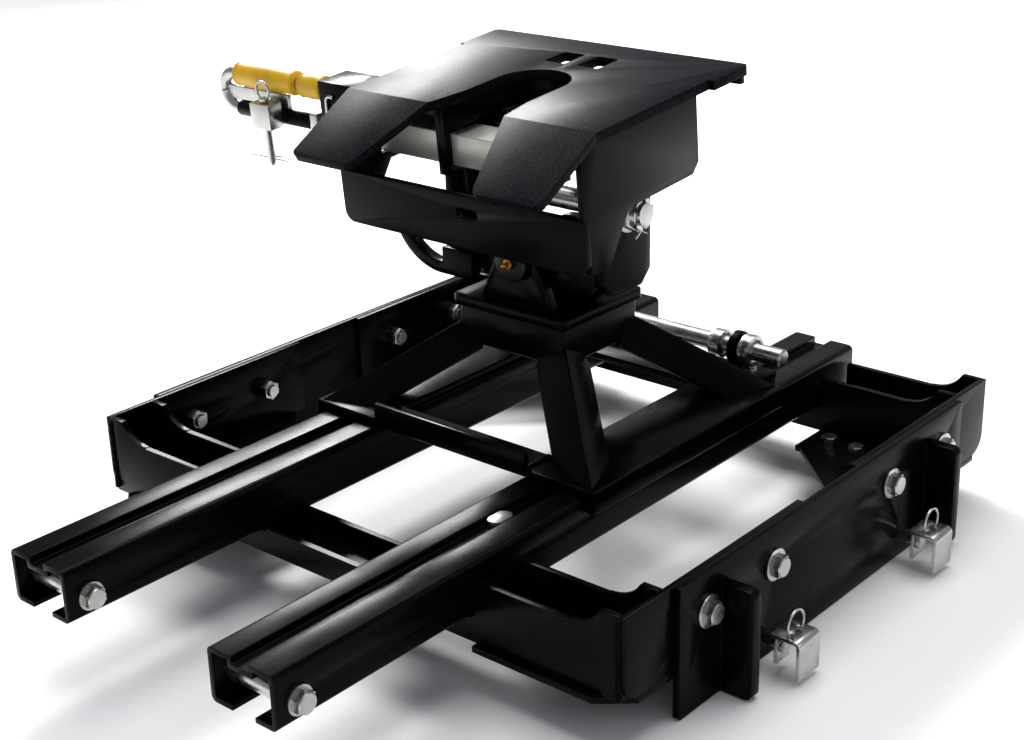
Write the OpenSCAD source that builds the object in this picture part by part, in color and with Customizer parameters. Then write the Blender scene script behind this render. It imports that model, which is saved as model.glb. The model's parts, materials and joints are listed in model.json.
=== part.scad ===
// Fifth wheel hitch: a tilting head on a carriage that slides along two rails,
// all carried by a base frame with four foot lugs. Millimetres, Z up, +Y towards the cab.

/* [Rails and base frame] */
// length of both slide rails
rail_length = 850; // [850:5:1000]
// width of a rail
rail_w = 76.2; // [60:0.2:92]
// height of a rail
rail_h = 50.8; // [46:0.2:56]
// distance between the rails' centrelines
rail_spacing = 261.4; // [225:0.2:300]
// height of the rails' undersides above the feet
rail_bottom_z = 71.4; // [66:0.2:86]
// distance between the centrelines of the two cross arms
arm_spacing = 559; // [480:1:570]
// width of a cross channel
arm_w = 59; // [50:1:66]
// distance between the outer faces of the side plates
base_w = 672.6; // [620:0.2:760]
// length of a side plate
side_plate_len = 487; // [460:1:520]
// height of a side plate
side_plate_h = 125; // [118:1:140]

/* [Carriage] */
// length of the carriage frame along the rails
carriage_len = 312; // [280:2:340]
// width of the carriage frame
carriage_w = 360; // [350:1:390]
// how far the carriage slides back
slide_travel = 254; // [150:2:260]
// width of one face of a leg
leg_face = 38; // [30:1:44]
// slope of the legs, degrees
leg_slope = 29.3; // [24:0.1:34]

/* [Yoke] */
// height of the roll pin's axis
roll_z = 285; // [280:1:300]
// diameter of the roll pin
roll_pin_d = 25; // [20:0.5:28]
// height of the pitch pin's axis
pitch_z = 342; // [336:1:360]
// diameter of the pitch pin
pitch_pin_d = 22.2; // [16:0.2:24]
// distance between the outer faces of the yoke's ears
yoke_w = 200; // [190:2:220]

/* [Head] */
// width of the top plate
head_w = 302; // [280:2:340]
// length of the top plate
plate_len = 226.8; // [210:0.2:260]
// thickness of the top plate
plate_t = 9.5; // [6:0.5:12]
// width of the throat
throat_w = 78; // [76:1:88]
// width of the kingpin seat, a running fit on a 50.8 neck
seat_w = 51.8; // [51.2:0.2:54]
// how the head stands at rest, front up, degrees
head_pitch = 4.8; // [0:0.1:6]

/* [Hidden] */
$fn = 64;
tow_y = 109;                    // the carriage's middle when it stands in the towing position
rail_t = 5;
rail_corner_r = 5;
rail_top_z = rail_bottom_z + rail_h;
groove_w = 19;
groove_d = 7;
lip_gap = 26;
lock_y = 170;                   // the slide-lock pins, from the carriage's middle
lock_slot = [17, 30];
stop_y = -229;
end_bolt_y = -rail_length / 2 + 24;
end_bolt_z = rail_bottom_z + 19;
end_bolt_d = 12.7;
sleeve_d = 19;

sheet = 6;
arm_bottom_z = 45;
arm_low_z = 105;
arm_curve_r = 40.6;
arm_step = 0.6;
arm_out = arm_spacing / 2 + arm_w / 2;
arm_in = arm_spacing / 2 - arm_w / 2;
notch_x = rail_spacing / 2 + rail_w / 2 + 1.2;
side_t = 7;
side_out_x = base_w / 2;
side_in_x = side_out_x - side_t;
end_plate_x = side_in_x - sheet;
arm_curve_x = side_in_x - 59;
side_bolt_y = [102, 204];
side_bolt_z = 88;
gusset_z = arm_bottom_z - sheet;
gusset_bolts_at = [[194, 288], [289, 288], [194, 231], [229, 226]];
lug_w = 32;
lug_t = 13;
lug_h = 105;
lug_y = 177.5;
pin_y = 121;
pin_z = 27;
pin_d = 12.7;
pin_in_x = side_in_x - 32;

deck_z = rail_top_z + 0.4;
deck_t = 8;
deck_top_z = deck_z + deck_t;
wrap_gap = 0.5;
wrap_x = rail_spacing / 2 + rail_w / 2 + wrap_gap;
member_in_x = 98;
crossbar_d = 40;
crossbar_h = 24;
leg_foot = [carriage_w / 2 - 10, carriage_len / 2 - 7, deck_top_z + 4];
block_x = 66;
block_y = 58;
block_bottom_z = 192;
cap_t = 10;
cap_z = 232;
ear_r = 26;
ear_t = 12;
saddle_half_y = 34;
fit = 0.05;
shaft_z = 154;
shaft_d = 19.05;
shaft_half = 172;
bracket_x = 112;
lock_pin_d = 15;
lock_pin_top_z = 135.5;

saddle_bottom_z = 262;
saddle_top_z = 308;
yoke_ear_t = 10;
yoke_ear_half_y = 37;
tab_t = 10;
tab_x = yoke_w / 2 - yoke_ear_t - 2 - tab_t;

plate_top_w = 115.2;            // the top plate's upper face above the pitch pin
plate_rear_v = -102.7;
plate_front_v = plate_rear_v + plate_len;
plate_low_w = plate_top_w - plate_t;
lip_t = 6;
lip_drop = 19;
wide_front_v = 66;
seat_v = -9.4;                  // the kingpin's axis when it is locked in
throat_r = throat_w / 2;
mouth_half = 46.5;
wall_t = 6;
wall_x = head_w / 2;
cross_v = -127;
cross_t = 7;
cross_low_w = -12.5;
cross_top_w = 40.3;
ramp_t = 8;
ramp_len = 93.8;
ramp_slope = 25.4;
bar_v = -72;
bar_d = 36;
bar_w = 43;
bar_h = 32;
bar_end_x = 66;
bar_start_x = -215;
bar_gap = 0.8;
bar_stroke = 95;
seat_low_w = 44;
seat_top_w = 76;
wing_x = 200;
rod_d = 13;
rod_v = -82;
rod_high_w = 101.5;
rod_low_w = 64;
rod_turn_x = -341;
grip_d = 26;
safety_x = -281;
safety_v = -100.5;
safety_d = 8;

black = [0.07, 0.07, 0.08];
zinc = [0.78, 0.79, 0.8];
yellow = [0.93, 0.74, 0.1];
brass = [0.75, 0.5, 0.2];

// ---- shared shapes ----

// rectangle about the origin with round corners
module rounded_rect(w, h, r) {
    square([w - 2 * r, h], center = true);
    square([w, h - 2 * r], center = true);
    for (sx = [-1, 1]) for (sy = [-1, 1])
        translate([sx * (w / 2 - r), sy * (h / 2 - r)]) circle(r = r);
}

// box between two corners
module block(low, high) {
    translate(low) cube(high - low);
}

// solid standing along +X
module rod_x(d, x0, x1) {
    translate([x0, 0, 0]) rotate([0, 90, 0]) cylinder(d = d, h = x1 - x0);
}

module rod_y(d, y0, y1) {
    translate([0, y0, 0]) rotate([-90, 0, 0]) cylinder(d = d, h = y1 - y0);
}

// a profile drawn in X and Z, as deep as y0 to y1
module slab_xz(y0, y1) {
    translate([0, y1, 0]) rotate([90, 0, 0]) linear_extrude(y1 - y0) children();
}

// a profile drawn in Y and Z, from x0 to x1
module slab_yz(x0, x1) {
    translate([x0, 0, 0]) rotate([90, 0, 90]) linear_extrude(x1 - x0) children();
}

// hexagon across its flats
module hexagon(flats) {
    circle(d = flats / cos(30), $fn = 6);
}

// hexagonal bolt along +X, its head's underside at the origin
module hex_bolt(d, flats, head_h, reach) {
    rotate([0, 90, 0]) {
        linear_extrude(head_h) hexagon(flats);
        translate([0, 0, -reach]) cylinder(d = d, h = reach);
    }
}

// hexagonal nut along +X from the origin
module hex_nut(d, flats, h) {
    rotate([0, 90, 0]) linear_extrude(h) difference() {
        hexagon(flats);
        circle(d = d);
    }
}

module at_tow() {
    translate([0, tow_y, 0]) children();
}

// the head's own frame: origin on the pitch pin's axis, Y along the plate, Z out of it
module at_head() {
    translate([0, tow_y, pitch_z]) rotate([head_pitch, 0, 0]) children();
}

module both_sides() {
    children();
    mirror([1, 0, 0]) children();
}

module both_ends() {
    children();
    mirror([0, 1, 0]) children();
}

// ---- base frame ----

module rail_profile() {
    difference() {
        union() {
            translate([0, rail_h / 2]) difference() {
                rounded_rect(rail_w, rail_h, rail_corner_r);
                rounded_rect(rail_w - 2 * rail_t, rail_h - 2 * rail_t, 2);
            }
            translate([-groove_w / 2 - rail_t, rail_h - groove_d - rail_t])
                square([groove_w + 2 * rail_t, groove_d + rail_t]);
        }
        translate([-groove_w / 2, rail_h - groove_d]) square([groove_w, groove_d + 1]);
        translate([-lip_gap / 2, -1]) square([lip_gap, rail_t + 2]);
    }
}

// a rail with its lock slots and the hole for its end bolt
module rail() {
    difference() {
        translate([0, 0, rail_bottom_z])
            slab_xz(-rail_length / 2, rail_length / 2) rail_profile();
        for (y = [lock_y, lock_y - slide_travel])
            translate([0, tow_y + y, rail_top_z - groove_d - rail_t / 2])
                cube([lock_slot[0], lock_slot[1], rail_t + 4], center = true);
        translate([0, end_bolt_y, end_bolt_z]) rod_x(end_bolt_d + 0.6, -rail_w, rail_w);
    }
}

module slide_rails() {
    color(black) for (s = [-1, 1]) translate([s * rail_spacing / 2, 0, 0]) rail();
}

module travel_stop() {
    stop_len = 26;
    stop_w = 16;
    color(zinc) translate([rail_spacing / 2, tow_y + stop_y, rail_top_z - groove_d])
        linear_extrude(groove_d - 0.4) {
            square([stop_w, stop_len - stop_w], center = true);
            for (s = [-1, 1]) translate([0, s * (stop_len - stop_w) / 2]) circle(d = stop_w);
        }
}

module at_rail_ends() {
    for (s = [-1, 1]) translate([s * rail_spacing / 2, end_bolt_y, end_bolt_z]) children();
}

module rail_end_bolts() {
    washer_t = 2;
    color(zinc) at_rail_ends() {
        translate([rail_w / 2 + washer_t, 0, 0])
            hex_bolt(end_bolt_d, 19, 8, rail_w + washer_t + 14);
        rod_x(26, rail_w / 2, rail_w / 2 + washer_t);
    }
}

module rail_end_sleeves() {
    inside = rail_w / 2 - rail_t;
    color(zinc) at_rail_ends() difference() {
        rod_x(sleeve_d, -inside, inside);
        rod_x(end_bolt_d + 0.2, -rail_w, rail_w);
    }
}

// one wall of a cross channel: low between the rails, high where it meets the side plates
module arm_wall_profile() {
    difference() {
        translate([-end_plate_x, arm_bottom_z])
            square([2 * end_plate_x, side_plate_h - arm_bottom_z]);
        translate([-notch_x, rail_bottom_z]) square([2 * notch_x, side_plate_h]);
        for (s = [-1, 1]) {
            translate([s * (notch_x + arm_curve_x) / 2, arm_low_z + side_plate_h / 2])
                square([arm_curve_x - notch_x + 0.02, side_plate_h], center = true);
            translate([s * arm_curve_x, arm_low_z + arm_curve_r + arm_step])
                circle(r = arm_curve_r);
        }
    }
}

module cross_channel() {
    difference() {
        union() {
            slab_xz(arm_in, arm_in + sheet) arm_wall_profile();
            slab_xz(arm_out - sheet, arm_out) arm_wall_profile();
            block([-end_plate_x, arm_in, arm_bottom_z],
                [end_plate_x, arm_out, arm_bottom_z + sheet]);
        }
        for (p = [gusset_bolts_at[0], gusset_bolts_at[1]])
            both_sides() translate([p[0], p[1] - 279.5 + arm_spacing / 2, arm_bottom_z - 1])
                cylinder(d = 10.5, h = sheet + 2);
    }
}

module cross_channels() {
    color(black) at_tow() both_ends() cross_channel();
}

// flat ends of the arms, bolted to the side plates
module arm_end_plates() {
    corner_r = 20;
    inner_y = 46;
    color(black) at_tow() both_ends() both_sides() difference() {
        slab_yz(end_plate_x, side_in_x) difference() {
            translate([inner_y, arm_bottom_z])
                square([arm_out - inner_y, side_plate_h - arm_bottom_z]);
            translate([arm_out - corner_r, arm_bottom_z]) difference() {
                square([corner_r + 1, corner_r]);
                translate([0, corner_r]) circle(r = corner_r);
            }
        }
        for (y = side_bolt_y) translate([0, y, side_bolt_z]) rod_x(13.5, 0, side_out_x);
    }
}

module gusset_outline() {
    polygon([[notch_x, arm_out + 6], [300, arm_out + 6], [side_in_x, arm_out - 18],
        [side_in_x, 55], [176, 201], [notch_x, 201]]);
}

function gusset_point(p) =
    p[1] > 250 ? [p[0], p[1] - 279.5 + arm_spacing / 2] : p;

module gusset_plates() {
    color(black) at_tow() both_ends() both_sides() translate([0, 0, gusset_z])
        linear_extrude(sheet) difference() {
            gusset_outline();
            for (p = gusset_bolts_at) translate(gusset_point(p)) circle(d = 10.5);
        }
}

module gusset_bolts() {
    reach = 2 * sheet + 12;
    color(zinc) at_tow() both_ends() both_sides() for (p = gusset_bolts_at)
        translate([gusset_point(p)[0], gusset_point(p)[1],
            p[1] > 250 ? arm_bottom_z + sheet : arm_bottom_z]) {
            linear_extrude(6.5) hexagon(16);
            translate([0, 0, -reach]) cylinder(d = 10, h = reach);
        }
}

module gusset_nuts() {
    color(zinc) at_tow() both_ends() both_sides() for (p = gusset_bolts_at)
        translate([gusset_point(p)[0], gusset_point(p)[1], gusset_z - 8])
            linear_extrude(8) difference() {
                hexagon(16);
                circle(d = 10);
            }
}

module side_plate() {
    difference() {
        slab_yz(side_in_x, side_out_x) translate([0, side_plate_h / 2])
            rounded_rect(side_plate_len, side_plate_h, 3);
        both_ends() {
            for (y = side_bolt_y) translate([0, y, side_bolt_z]) rod_x(13.5, 0, base_w);
            translate([0, pin_y, pin_z]) rod_x(pin_d + 0.8, 0, base_w);
        }
    }
}

module side_plates() {
    color(black) at_tow() both_sides() side_plate();
}

// upright lugs standing out from the side plates
module foot_lugs() {
    r = 8;
    color(black) at_tow() both_sides() both_ends() slab_xz(lug_y - lug_t / 2, lug_y + lug_t / 2)
        translate([side_out_x, 0]) {
            square([lug_w - r, lug_h]);
            translate([0, r]) square([lug_w, lug_h - 2 * r]);
            for (z = [r, lug_h - r]) translate([lug_w - r, z]) circle(r = r);
        }
}

module at_side_bolts() {
    at_tow() both_ends() both_sides() for (y = side_bolt_y)
        translate([side_out_x, y, side_bolt_z]) children();
}

module side_plate_bolts() {
    color(zinc) at_side_bolts() translate([2.5, 0, 0])
        hex_bolt(12.7, 19, 8, side_t + sheet + 17);
}

module side_plate_washers() {
    color(zinc) at_side_bolts() difference() {
        rod_x(30, 0, 2.5);
        rod_x(13, -1, 4);
    }
}

// the same nut on the side plates' bolts and on the rails' end bolts
module hex_nuts() {
    nut_h = 11;
    color(zinc) {
        at_side_bolts() translate([-side_t - sheet - nut_h, 0, 0]) hex_nut(12.7, 19, nut_h);
        at_rail_ends() translate([-rail_w / 2 - nut_h, 0, 0]) hex_nut(end_bolt_d, 19, nut_h);
    }
}

// ---- pull pins ----

strap_t = 3.5;
strap_in_x = side_out_x + 20;
strap_out_x = side_out_x + 50;
strap_top_z = 42;
strap_w = 33;
tongue_w = 20;

module pull_pin() {
    head_x = strap_in_x + strap_t;
    translate([0, pin_y, pin_z]) {
        rod_x(pin_d, pin_in_x + 2, head_x);
        translate([pin_in_x, 0, 0]) rotate([0, 90, 0])
            cylinder(d1 = pin_d - 4, d2 = pin_d, h = 2);
        rod_x(pin_d + 5, head_x, head_x + 4);
    }
}

// bent strap: a tongue round the pin, a flat top and a wide outer leg, with a wire ring
module pin_handle() {
    bend_r = 6;
    ring_z = 50;
    ring_r = 12.75;
    translate([0, pin_y, 0]) {
        difference() {
            union() {
                slab_xz(-strap_w / 2, strap_w / 2) difference() {
                    translate([strap_in_x, strap_top_z - bend_r])
                        square([strap_out_x - bend_r - strap_in_x, bend_r]);
                    translate([strap_in_x - 1, strap_top_z - bend_r - 1])
                        square([strap_out_x, bend_r + 1 - strap_t]);
                }
                slab_xz(-strap_w / 2, strap_w / 2) difference() {
                    translate([strap_out_x - bend_r, strap_top_z - bend_r]) circle(r = bend_r);
                    translate([strap_out_x - bend_r, strap_top_z - bend_r])
                        circle(r = bend_r - strap_t);
                    translate([strap_out_x - 3 * bend_r, 0]) square([2 * bend_r, strap_top_z]);
                    translate([strap_out_x - 2 * bend_r, 0])
                        square([2 * bend_r + 1, strap_top_z - bend_r]);
                }
                block([strap_out_x - strap_t, -strap_w / 2, 5],
                    [strap_out_x, strap_w / 2, strap_top_z - bend_r]);
                block([strap_in_x, -tongue_w / 2, 10],
                    [strap_in_x + strap_t, tongue_w / 2, strap_top_z - strap_t]);
            }
            translate([0, 0, pin_z]) rod_x(pin_d, strap_in_x - 5, strap_in_x + 10);
            for (s = [-1, 1]) translate([(strap_in_x + strap_out_x) / 2, s * 8.2, 30])
                cylinder(d = 6, h = 20);
        }
        translate([(strap_in_x + strap_out_x) / 2, 0, ring_z]) rotate([90, 0, 90])
            rotate_extrude() translate([ring_r, 0]) circle(r = 1.25);
    }
}

module pull_pin_rear_left() {
    color(zinc) at_tow() mirror([1, 0, 0]) mirror([0, 1, 0]) pull_pin();
}

module pull_pin_rear_right() {
    color(zinc) at_tow() mirror([0, 1, 0]) pull_pin();
}

module pull_pin_front_left() {
    color(zinc) at_tow() mirror([1, 0, 0]) pull_pin();
}

module pull_pin_front_right() {
    color(zinc) at_tow() pull_pin();
}

module pin_handle_rear_left() {
    color(zinc) at_tow() mirror([1, 0, 0]) mirror([0, 1, 0]) pin_handle();
}

module pin_handle_rear_right() {
    color(zinc) at_tow() mirror([0, 1, 0]) pin_handle();
}

module pin_handle_front_left() {
    color(zinc) at_tow() mirror([1, 0, 0]) pin_handle();
}

module pin_handle_front_right() {
    color(zinc) at_tow() pin_handle();
}

// ---- carriage ----

// a flat member on a rail with a lip that wraps the rail's outer edge
module side_member() {
    lip_z = arm_low_z + 2.5;
    slab_xz(-carriage_len / 2, carriage_len / 2) {
        translate([member_in_x, deck_z]) square([carriage_w / 2 - member_in_x, deck_t]);
        translate([wrap_x, lip_z]) square([carriage_w / 2 - wrap_x, deck_z - lip_z]);
    }
}

module side_members() {
    color(black) at_tow() both_sides() side_member();
}

// angle section across the carriage, its upright flange outwards
module crossbar() {
    y1 = carriage_len / 2;
    block([-member_in_x, y1 - crossbar_d, deck_z], [member_in_x, y1, deck_top_z]);
    block([-member_in_x, y1 - sheet, deck_top_z], [member_in_x, y1, deck_z + crossbar_h]);
}

module crossbars() {
    color(black) at_tow() both_ends() crossbar();
}

// an angle section leaning in from a corner of the frame, its edge uppermost
module leg() {
    leg_t = 6;
    reach = 260;
    heading = 180 + atan2(leg_foot[1] - block_y + 6, leg_foot[0] - block_x + 4);
    difference() {
        translate(leg_foot) rotate([0, 0, heading]) rotate([0, -leg_slope, 0])
            rotate([45, 0, 0]) slab_yz(-60, reach) {
                translate([-leg_face, -leg_t]) square([leg_face, leg_t]);
                translate([-leg_t, -leg_face]) square([leg_t, leg_face]);
            }
        block([-400, -400, deck_top_z - 300], [400, 400, deck_top_z]);
        block([-block_x, -block_y, 0], [block_x, block_y, 500]);
        block([-400, -400, 0], [block_x - 30, 400, 500]);
        block([-400, -400, 0], [400, block_y - 30, 500]);
        block([-400, -400, cap_z], [400, 400, 500]);
    }
}

module carriage_legs() {
    color(black) at_tow() both_ends() both_sides() leg();
}

module pedestal_box() {
    t = 8;
    color(black) at_tow() difference() {
        block([-block_x, -block_y, block_bottom_z], [block_x, block_y, cap_z]);
        block([-block_x + t, -block_y + t, block_bottom_z - 1],
            [block_x - t, block_y - t, cap_z + 1]);
    }
}

module pedestal_cap() {
    over = 6;
    color(black) at_tow() translate([0, 0, cap_z]) linear_extrude(cap_t)
        rounded_rect(2 * (block_x + over), 2 * (block_y + over), 8);
}

// two upright plates that carry the roll pin
module roll_ears() {
    foot_half = 45;
    ear_in_y = saddle_half_y + 3;
    color(black) at_tow() both_ends() difference() {
        slab_xz(ear_in_y, ear_in_y + ear_t) {
            polygon([[-foot_half, cap_z + cap_t], [foot_half, cap_z + cap_t],
                [ear_r, roll_z], [-ear_r, roll_z]]);
            translate([0, roll_z]) circle(r = ear_r);
        }
        translate([0, 0, roll_z]) rod_y(roll_pin_d + 2 * fit, 0, 200);
    }
}

// upright with a foot over the rail: carries the rock shaft and guides a lock pin
module shaft_brackets() {
    y0 = carriage_len / 2;
    plate = 8;
    round_r = 18;
    color(black) at_tow() both_sides() difference() {
        union() {
            block([bracket_x, y0, deck_z], [152, lock_y + 18, deck_top_z]);
            slab_yz(bracket_x, bracket_x + plate) {
                translate([lock_y - round_r + 4, deck_top_z])
                    square([2 * round_r - 4, shaft_z - deck_top_z]);
                translate([lock_y, shaft_z]) circle(r = round_r);
            }
        }
        translate([0, lock_y, shaft_z]) rod_x(shaft_d + 0.15, 0, 200);
        translate([rail_spacing / 2, lock_y, 0]) cylinder(d = lock_pin_d + 0.9, h = 400);
    }
}

module rock_shaft() {
    chamfer = 2;
    color(zinc) at_tow() translate([0, lock_y, shaft_z]) {
        rod_x(shaft_d, -shaft_half + chamfer, shaft_half - chamfer);
        both_sides() translate([shaft_half - chamfer, 0, 0]) rotate([0, 90, 0])
            cylinder(d1 = shaft_d, d2 = shaft_d - 2 * chamfer, h = chamfer);
    }
}

// collars that keep the shaft in place, and the cams over the lock pins
module shaft_collars() {
    cam_x = rail_spacing / 2;
    color(zinc) at_tow() translate([0, lock_y, shaft_z]) both_sides() {
        difference() {
            rod_x(30, bracket_x - 26, bracket_x - 12);
            rod_x(shaft_d, 0, 200);
        }
        difference() {
            rod_x(34, cam_x - 6, cam_x + 6);
            rod_x(shaft_d, 0, 200);
        }
    }
}

module lock_pin() {
    tip = 3;
    low_z = rail_top_z - groove_d + 1.8;
    translate([rail_spacing / 2, lock_y, low_z]) {
        cylinder(d1 = lock_pin_d - 2 * tip, d2 = lock_pin_d, h = tip);
        translate([0, 0, tip]) cylinder(d = lock_pin_d, h = lock_pin_top_z - low_z - tip);
    }
}

module lock_pin_left() {
    color(zinc) at_tow() mirror([1, 0, 0]) lock_pin();
}

module lock_pin_right() {
    color(zinc) at_tow() lock_pin();
}

roll_face_y = saddle_half_y + 3 + ear_t;

module roll_pin() {
    color(zinc) at_tow() translate([0, 0, roll_z]) difference() {
        union() {
            rod_y(roll_pin_d, -roll_face_y, roll_face_y + 16);
            rod_y(38, -roll_face_y - 8, -roll_face_y);
        }
        rod_y(6, -roll_face_y - 9, -20);
    }
}

module roll_pin_nut() {
    color(zinc) at_tow() translate([0, roll_face_y, roll_z]) rotate([-90, 0, 0]) {
        linear_extrude(3) difference() {
            circle(d = 46);
            circle(d = roll_pin_d);
        }
        translate([0, 0, 3]) linear_extrude(14) difference() {
            hexagon(38);
            circle(d = roll_pin_d);
        }
    }
}

module grease_fitting() {
    face = -roll_face_y - 8;
    color(brass) at_tow() translate([0, face, roll_z]) rotate([90, 0, 0]) {
        translate([0, 0, -10]) cylinder(d = 6, h = 10);
        linear_extrude(4) hexagon(10);
        translate([0, 0, 4]) cylinder(d1 = 6, d2 = 4.6, h = 4);
        translate([0, 0, 8]) sphere(d = 6.4);
    }
}

// ---- yoke ----

module yoke_saddle() {
    half = yoke_w / 2 - yoke_ear_t;
    cut = 12;
    color(black) at_tow() difference() {
        slab_xz(-saddle_half_y, saddle_half_y)
            polygon([[-half, saddle_bottom_z + cut], [-half + cut, saddle_bottom_z],
                [half - cut, saddle_bottom_z], [half, saddle_bottom_z + cut],
                [half, saddle_top_z], [-half, saddle_top_z]]);
        translate([0, 0, roll_z]) rod_y(roll_pin_d + 2 * fit, -200, 200);
    }
}

module yoke_ears() {
    cut = 14;
    top_r = 14;
    ear_top_z = pitch_z + 28;
    h = yoke_ear_half_y;
    color(black) at_tow() both_sides() difference() {
        slab_yz(yoke_w / 2 - yoke_ear_t, yoke_w / 2) {
            polygon([[-h, saddle_bottom_z + cut], [-h + cut, saddle_bottom_z],
                [h - cut, saddle_bottom_z], [h, saddle_bottom_z + cut],
                [h, ear_top_z - top_r], [-h, ear_top_z - top_r]]);
            translate([-h + top_r, ear_top_z - top_r - 1])
                square([2 * (h - top_r), top_r + 1]);
            for (s = [-1, 1]) translate([s * (h - top_r), ear_top_z - top_r])
                circle(r = top_r);
        }
        translate([0, 0, pitch_z]) rod_x(pitch_pin_d + 2 * fit, 0, 200);
    }
}

// curved strap on an ear's rear edge, sweeping out and up on the handle side, and the tongue
// that joins it to the saddle
module yoke_strap() {
    arc_r = 62;
    strap_half = 6.5;
    strap_t = 13;
    tongue_len = 40;
    centre = [-96, 322];
    ear_in_x = yoke_w / 2 - yoke_ear_t;
    low = centre[1] - arc_r - strap_half;
    high = low + 2 * strap_half + 16;
    color(black) at_tow() {
        slab_xz(-yoke_ear_half_y - strap_t, -yoke_ear_half_y) {
            intersection() {
                translate(centre) difference() {
                    circle(r = arc_r + strap_half);
                    circle(r = arc_r - strap_half);
                }
                translate(centre) polygon([[0, 0], [0, -2 * arc_r], [-2 * arc_r, -2 * arc_r],
                    [-2 * arc_r, -0.55 * arc_r]]);
            }
            translate([centre[0], low]) square([tongue_len, high - low]);
        }
        block([-ear_in_x, -yoke_ear_half_y - 1, low + strap_half],
            [centre[0] + tongue_len, -saddle_half_y, high]);
    }
}

module pitch_pin() {
    color(zinc) at_tow() translate([0, 0, pitch_z]) difference() {
        union() {
            rod_x(pitch_pin_d, -yoke_w / 2 - 3, yoke_w / 2 + 22);
            rod_x(34, -yoke_w / 2 - 12, -yoke_w / 2 - 3);
        }
        translate([yoke_w / 2 + 15.5, 0, -30]) cylinder(d = 4.6, h = 60);
    }
}

module pitch_washers() {
    color(zinc) at_tow() translate([0, 0, pitch_z]) both_sides() difference() {
        rod_x(42, yoke_w / 2, yoke_w / 2 + 3);
        rod_x(pitch_pin_d, 0, 200);
    }
}

// nut with six slots for the cotter pin
module castle_nut() {
    nut_h = 16;
    slot_d = 6;
    color(zinc) at_tow() translate([yoke_w / 2 + 3, 0, pitch_z]) rotate([0, 90, 0])
        difference() {
            union() {
                linear_extrude(nut_h - slot_d) hexagon(33.3);
                translate([0, 0, nut_h - slot_d]) cylinder(d = 31, h = slot_d);
            }
            translate([0, 0, -1]) cylinder(d = pitch_pin_d, h = nut_h + 2);
            for (a = [0:60:120]) rotate([0, 0, a])
                translate([-30, -2.6, nut_h - slot_d]) cube([60, 5.2, slot_d + 1]);
        }
}

module cotter_pin() {
    x = yoke_w / 2 + 15.5;
    color(zinc) at_tow() translate([x, 0, pitch_z]) {
        translate([0, 0, -24]) cylinder(d = 4.2, h = 45);
        translate([0, 0, 25]) rotate([90, 0, 0])
            rotate_extrude() translate([4.2, 0]) circle(d = 2.6);
    }
}

// ---- head, drawn in its own frame ----

module throat_outline(r) {
    translate([0, seat_v]) circle(r = r);
    translate([-r, seat_v - 60]) square([2 * r, 60]);
    polygon([[-r, -60], [r, -60], [mouth_half, plate_rear_v - 1], [-mouth_half, plate_rear_v - 1]]);
}

module top_plate() {
    wing = 6;
    slot = [26, 34];
    slot_at = [20.5, 68];
    r = 6;
    color(black) at_head() {
        difference() {
            translate([0, 0, plate_low_w]) linear_extrude(plate_t) {
                translate([-wall_x, plate_rear_v]) square([2 * wall_x, plate_len - r]);
                translate([-wall_x - wing, wide_front_v])
                    square([2 * (wall_x + wing), plate_front_v - wide_front_v - r]);
                translate([-wall_x - wing + r, plate_front_v - r])
                    square([2 * (wall_x + wing - r), r]);
                for (s = [-1, 1]) translate([s * (wall_x + wing - r), plate_front_v - r])
                    circle(r = r);
            }
            translate([0, 0, plate_low_w - 1]) linear_extrude(plate_t + 2) {
                throat_outline(throat_r);
                for (s = [-1, 1]) translate([s * slot_at[0], slot_at[1]])
                    rounded_rect(slot[0], slot[1], 3);
            }
        }
        block([-wall_x - wing + r, plate_front_v - lip_t, plate_top_w - lip_drop],
            [wall_x + wing - r, plate_front_v, plate_low_w]);
    }
}

// side wall: deep under the ramp, shallower beside the yoke
module side_wall() {
    slope = tan(ramp_slope);
    low = 33;
    front_v = 46;
    cut = 10;
    back = cross_v + cross_t;
    slab_yz(wall_x - wall_t, wall_x)
        polygon([[back, cross_low_w], [back, cross_top_w], [cross_v, cross_top_w],
            [cross_v, plate_top_w - (plate_rear_v - cross_v) * slope - ramp_t / cos(ramp_slope)],
            [plate_rear_v, plate_top_w - ramp_t / cos(ramp_slope)],
            [plate_rear_v, plate_low_w], [front_v, plate_low_w], [front_v, low + cut],
            [front_v - cut, low], [-62, low], [-96, cross_low_w]]);
}

module side_walls() {
    color(black) at_head() difference() {
        both_sides() side_wall();
        block([-wall_x - 1, bar_v - 2, bar_w - 2],
            [-wall_x + wall_t + 1, bar_v + bar_d + 2, bar_w + bar_h + 2]);
    }
}

module entry_ramps() {
    r = 8;
    low_half = 76;
    color(black) at_head() both_sides() difference() {
        translate([0, plate_rear_v, plate_top_w]) rotate([ramp_slope, 0, 0])
            translate([0, 0, -ramp_t]) linear_extrude(ramp_t) {
                polygon([[mouth_half, 6], [wall_x, 6], [wall_x, r - ramp_len],
                    [wall_x - r, -ramp_len], [low_half + r, -ramp_len],
                    [low_half - 2, r - ramp_len], [mouth_half, 0]]);
                translate([wall_x - r, r - ramp_len]) circle(r = r);
                translate([low_half + r - 1.2, r - ramp_len]) circle(r = r);
            }
        block([0, plate_rear_v, 0], [2 * wall_x, 0, 2 * plate_top_w]);
    }
}

// skirt under the throat's edge
module throat_collar() {
    t = 8;
    drop = 24;
    back_v = -88;
    color(black) at_head() translate([0, 0, plate_low_w - drop]) linear_extrude(drop)
        difference() {
            union() {
                translate([0, seat_v]) circle(r = throat_r + t);
                translate([-throat_r - t, back_v])
                    square([2 * (throat_r + t), seat_v - back_v]);
            }
            throat_outline(throat_r);
        }
}

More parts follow.
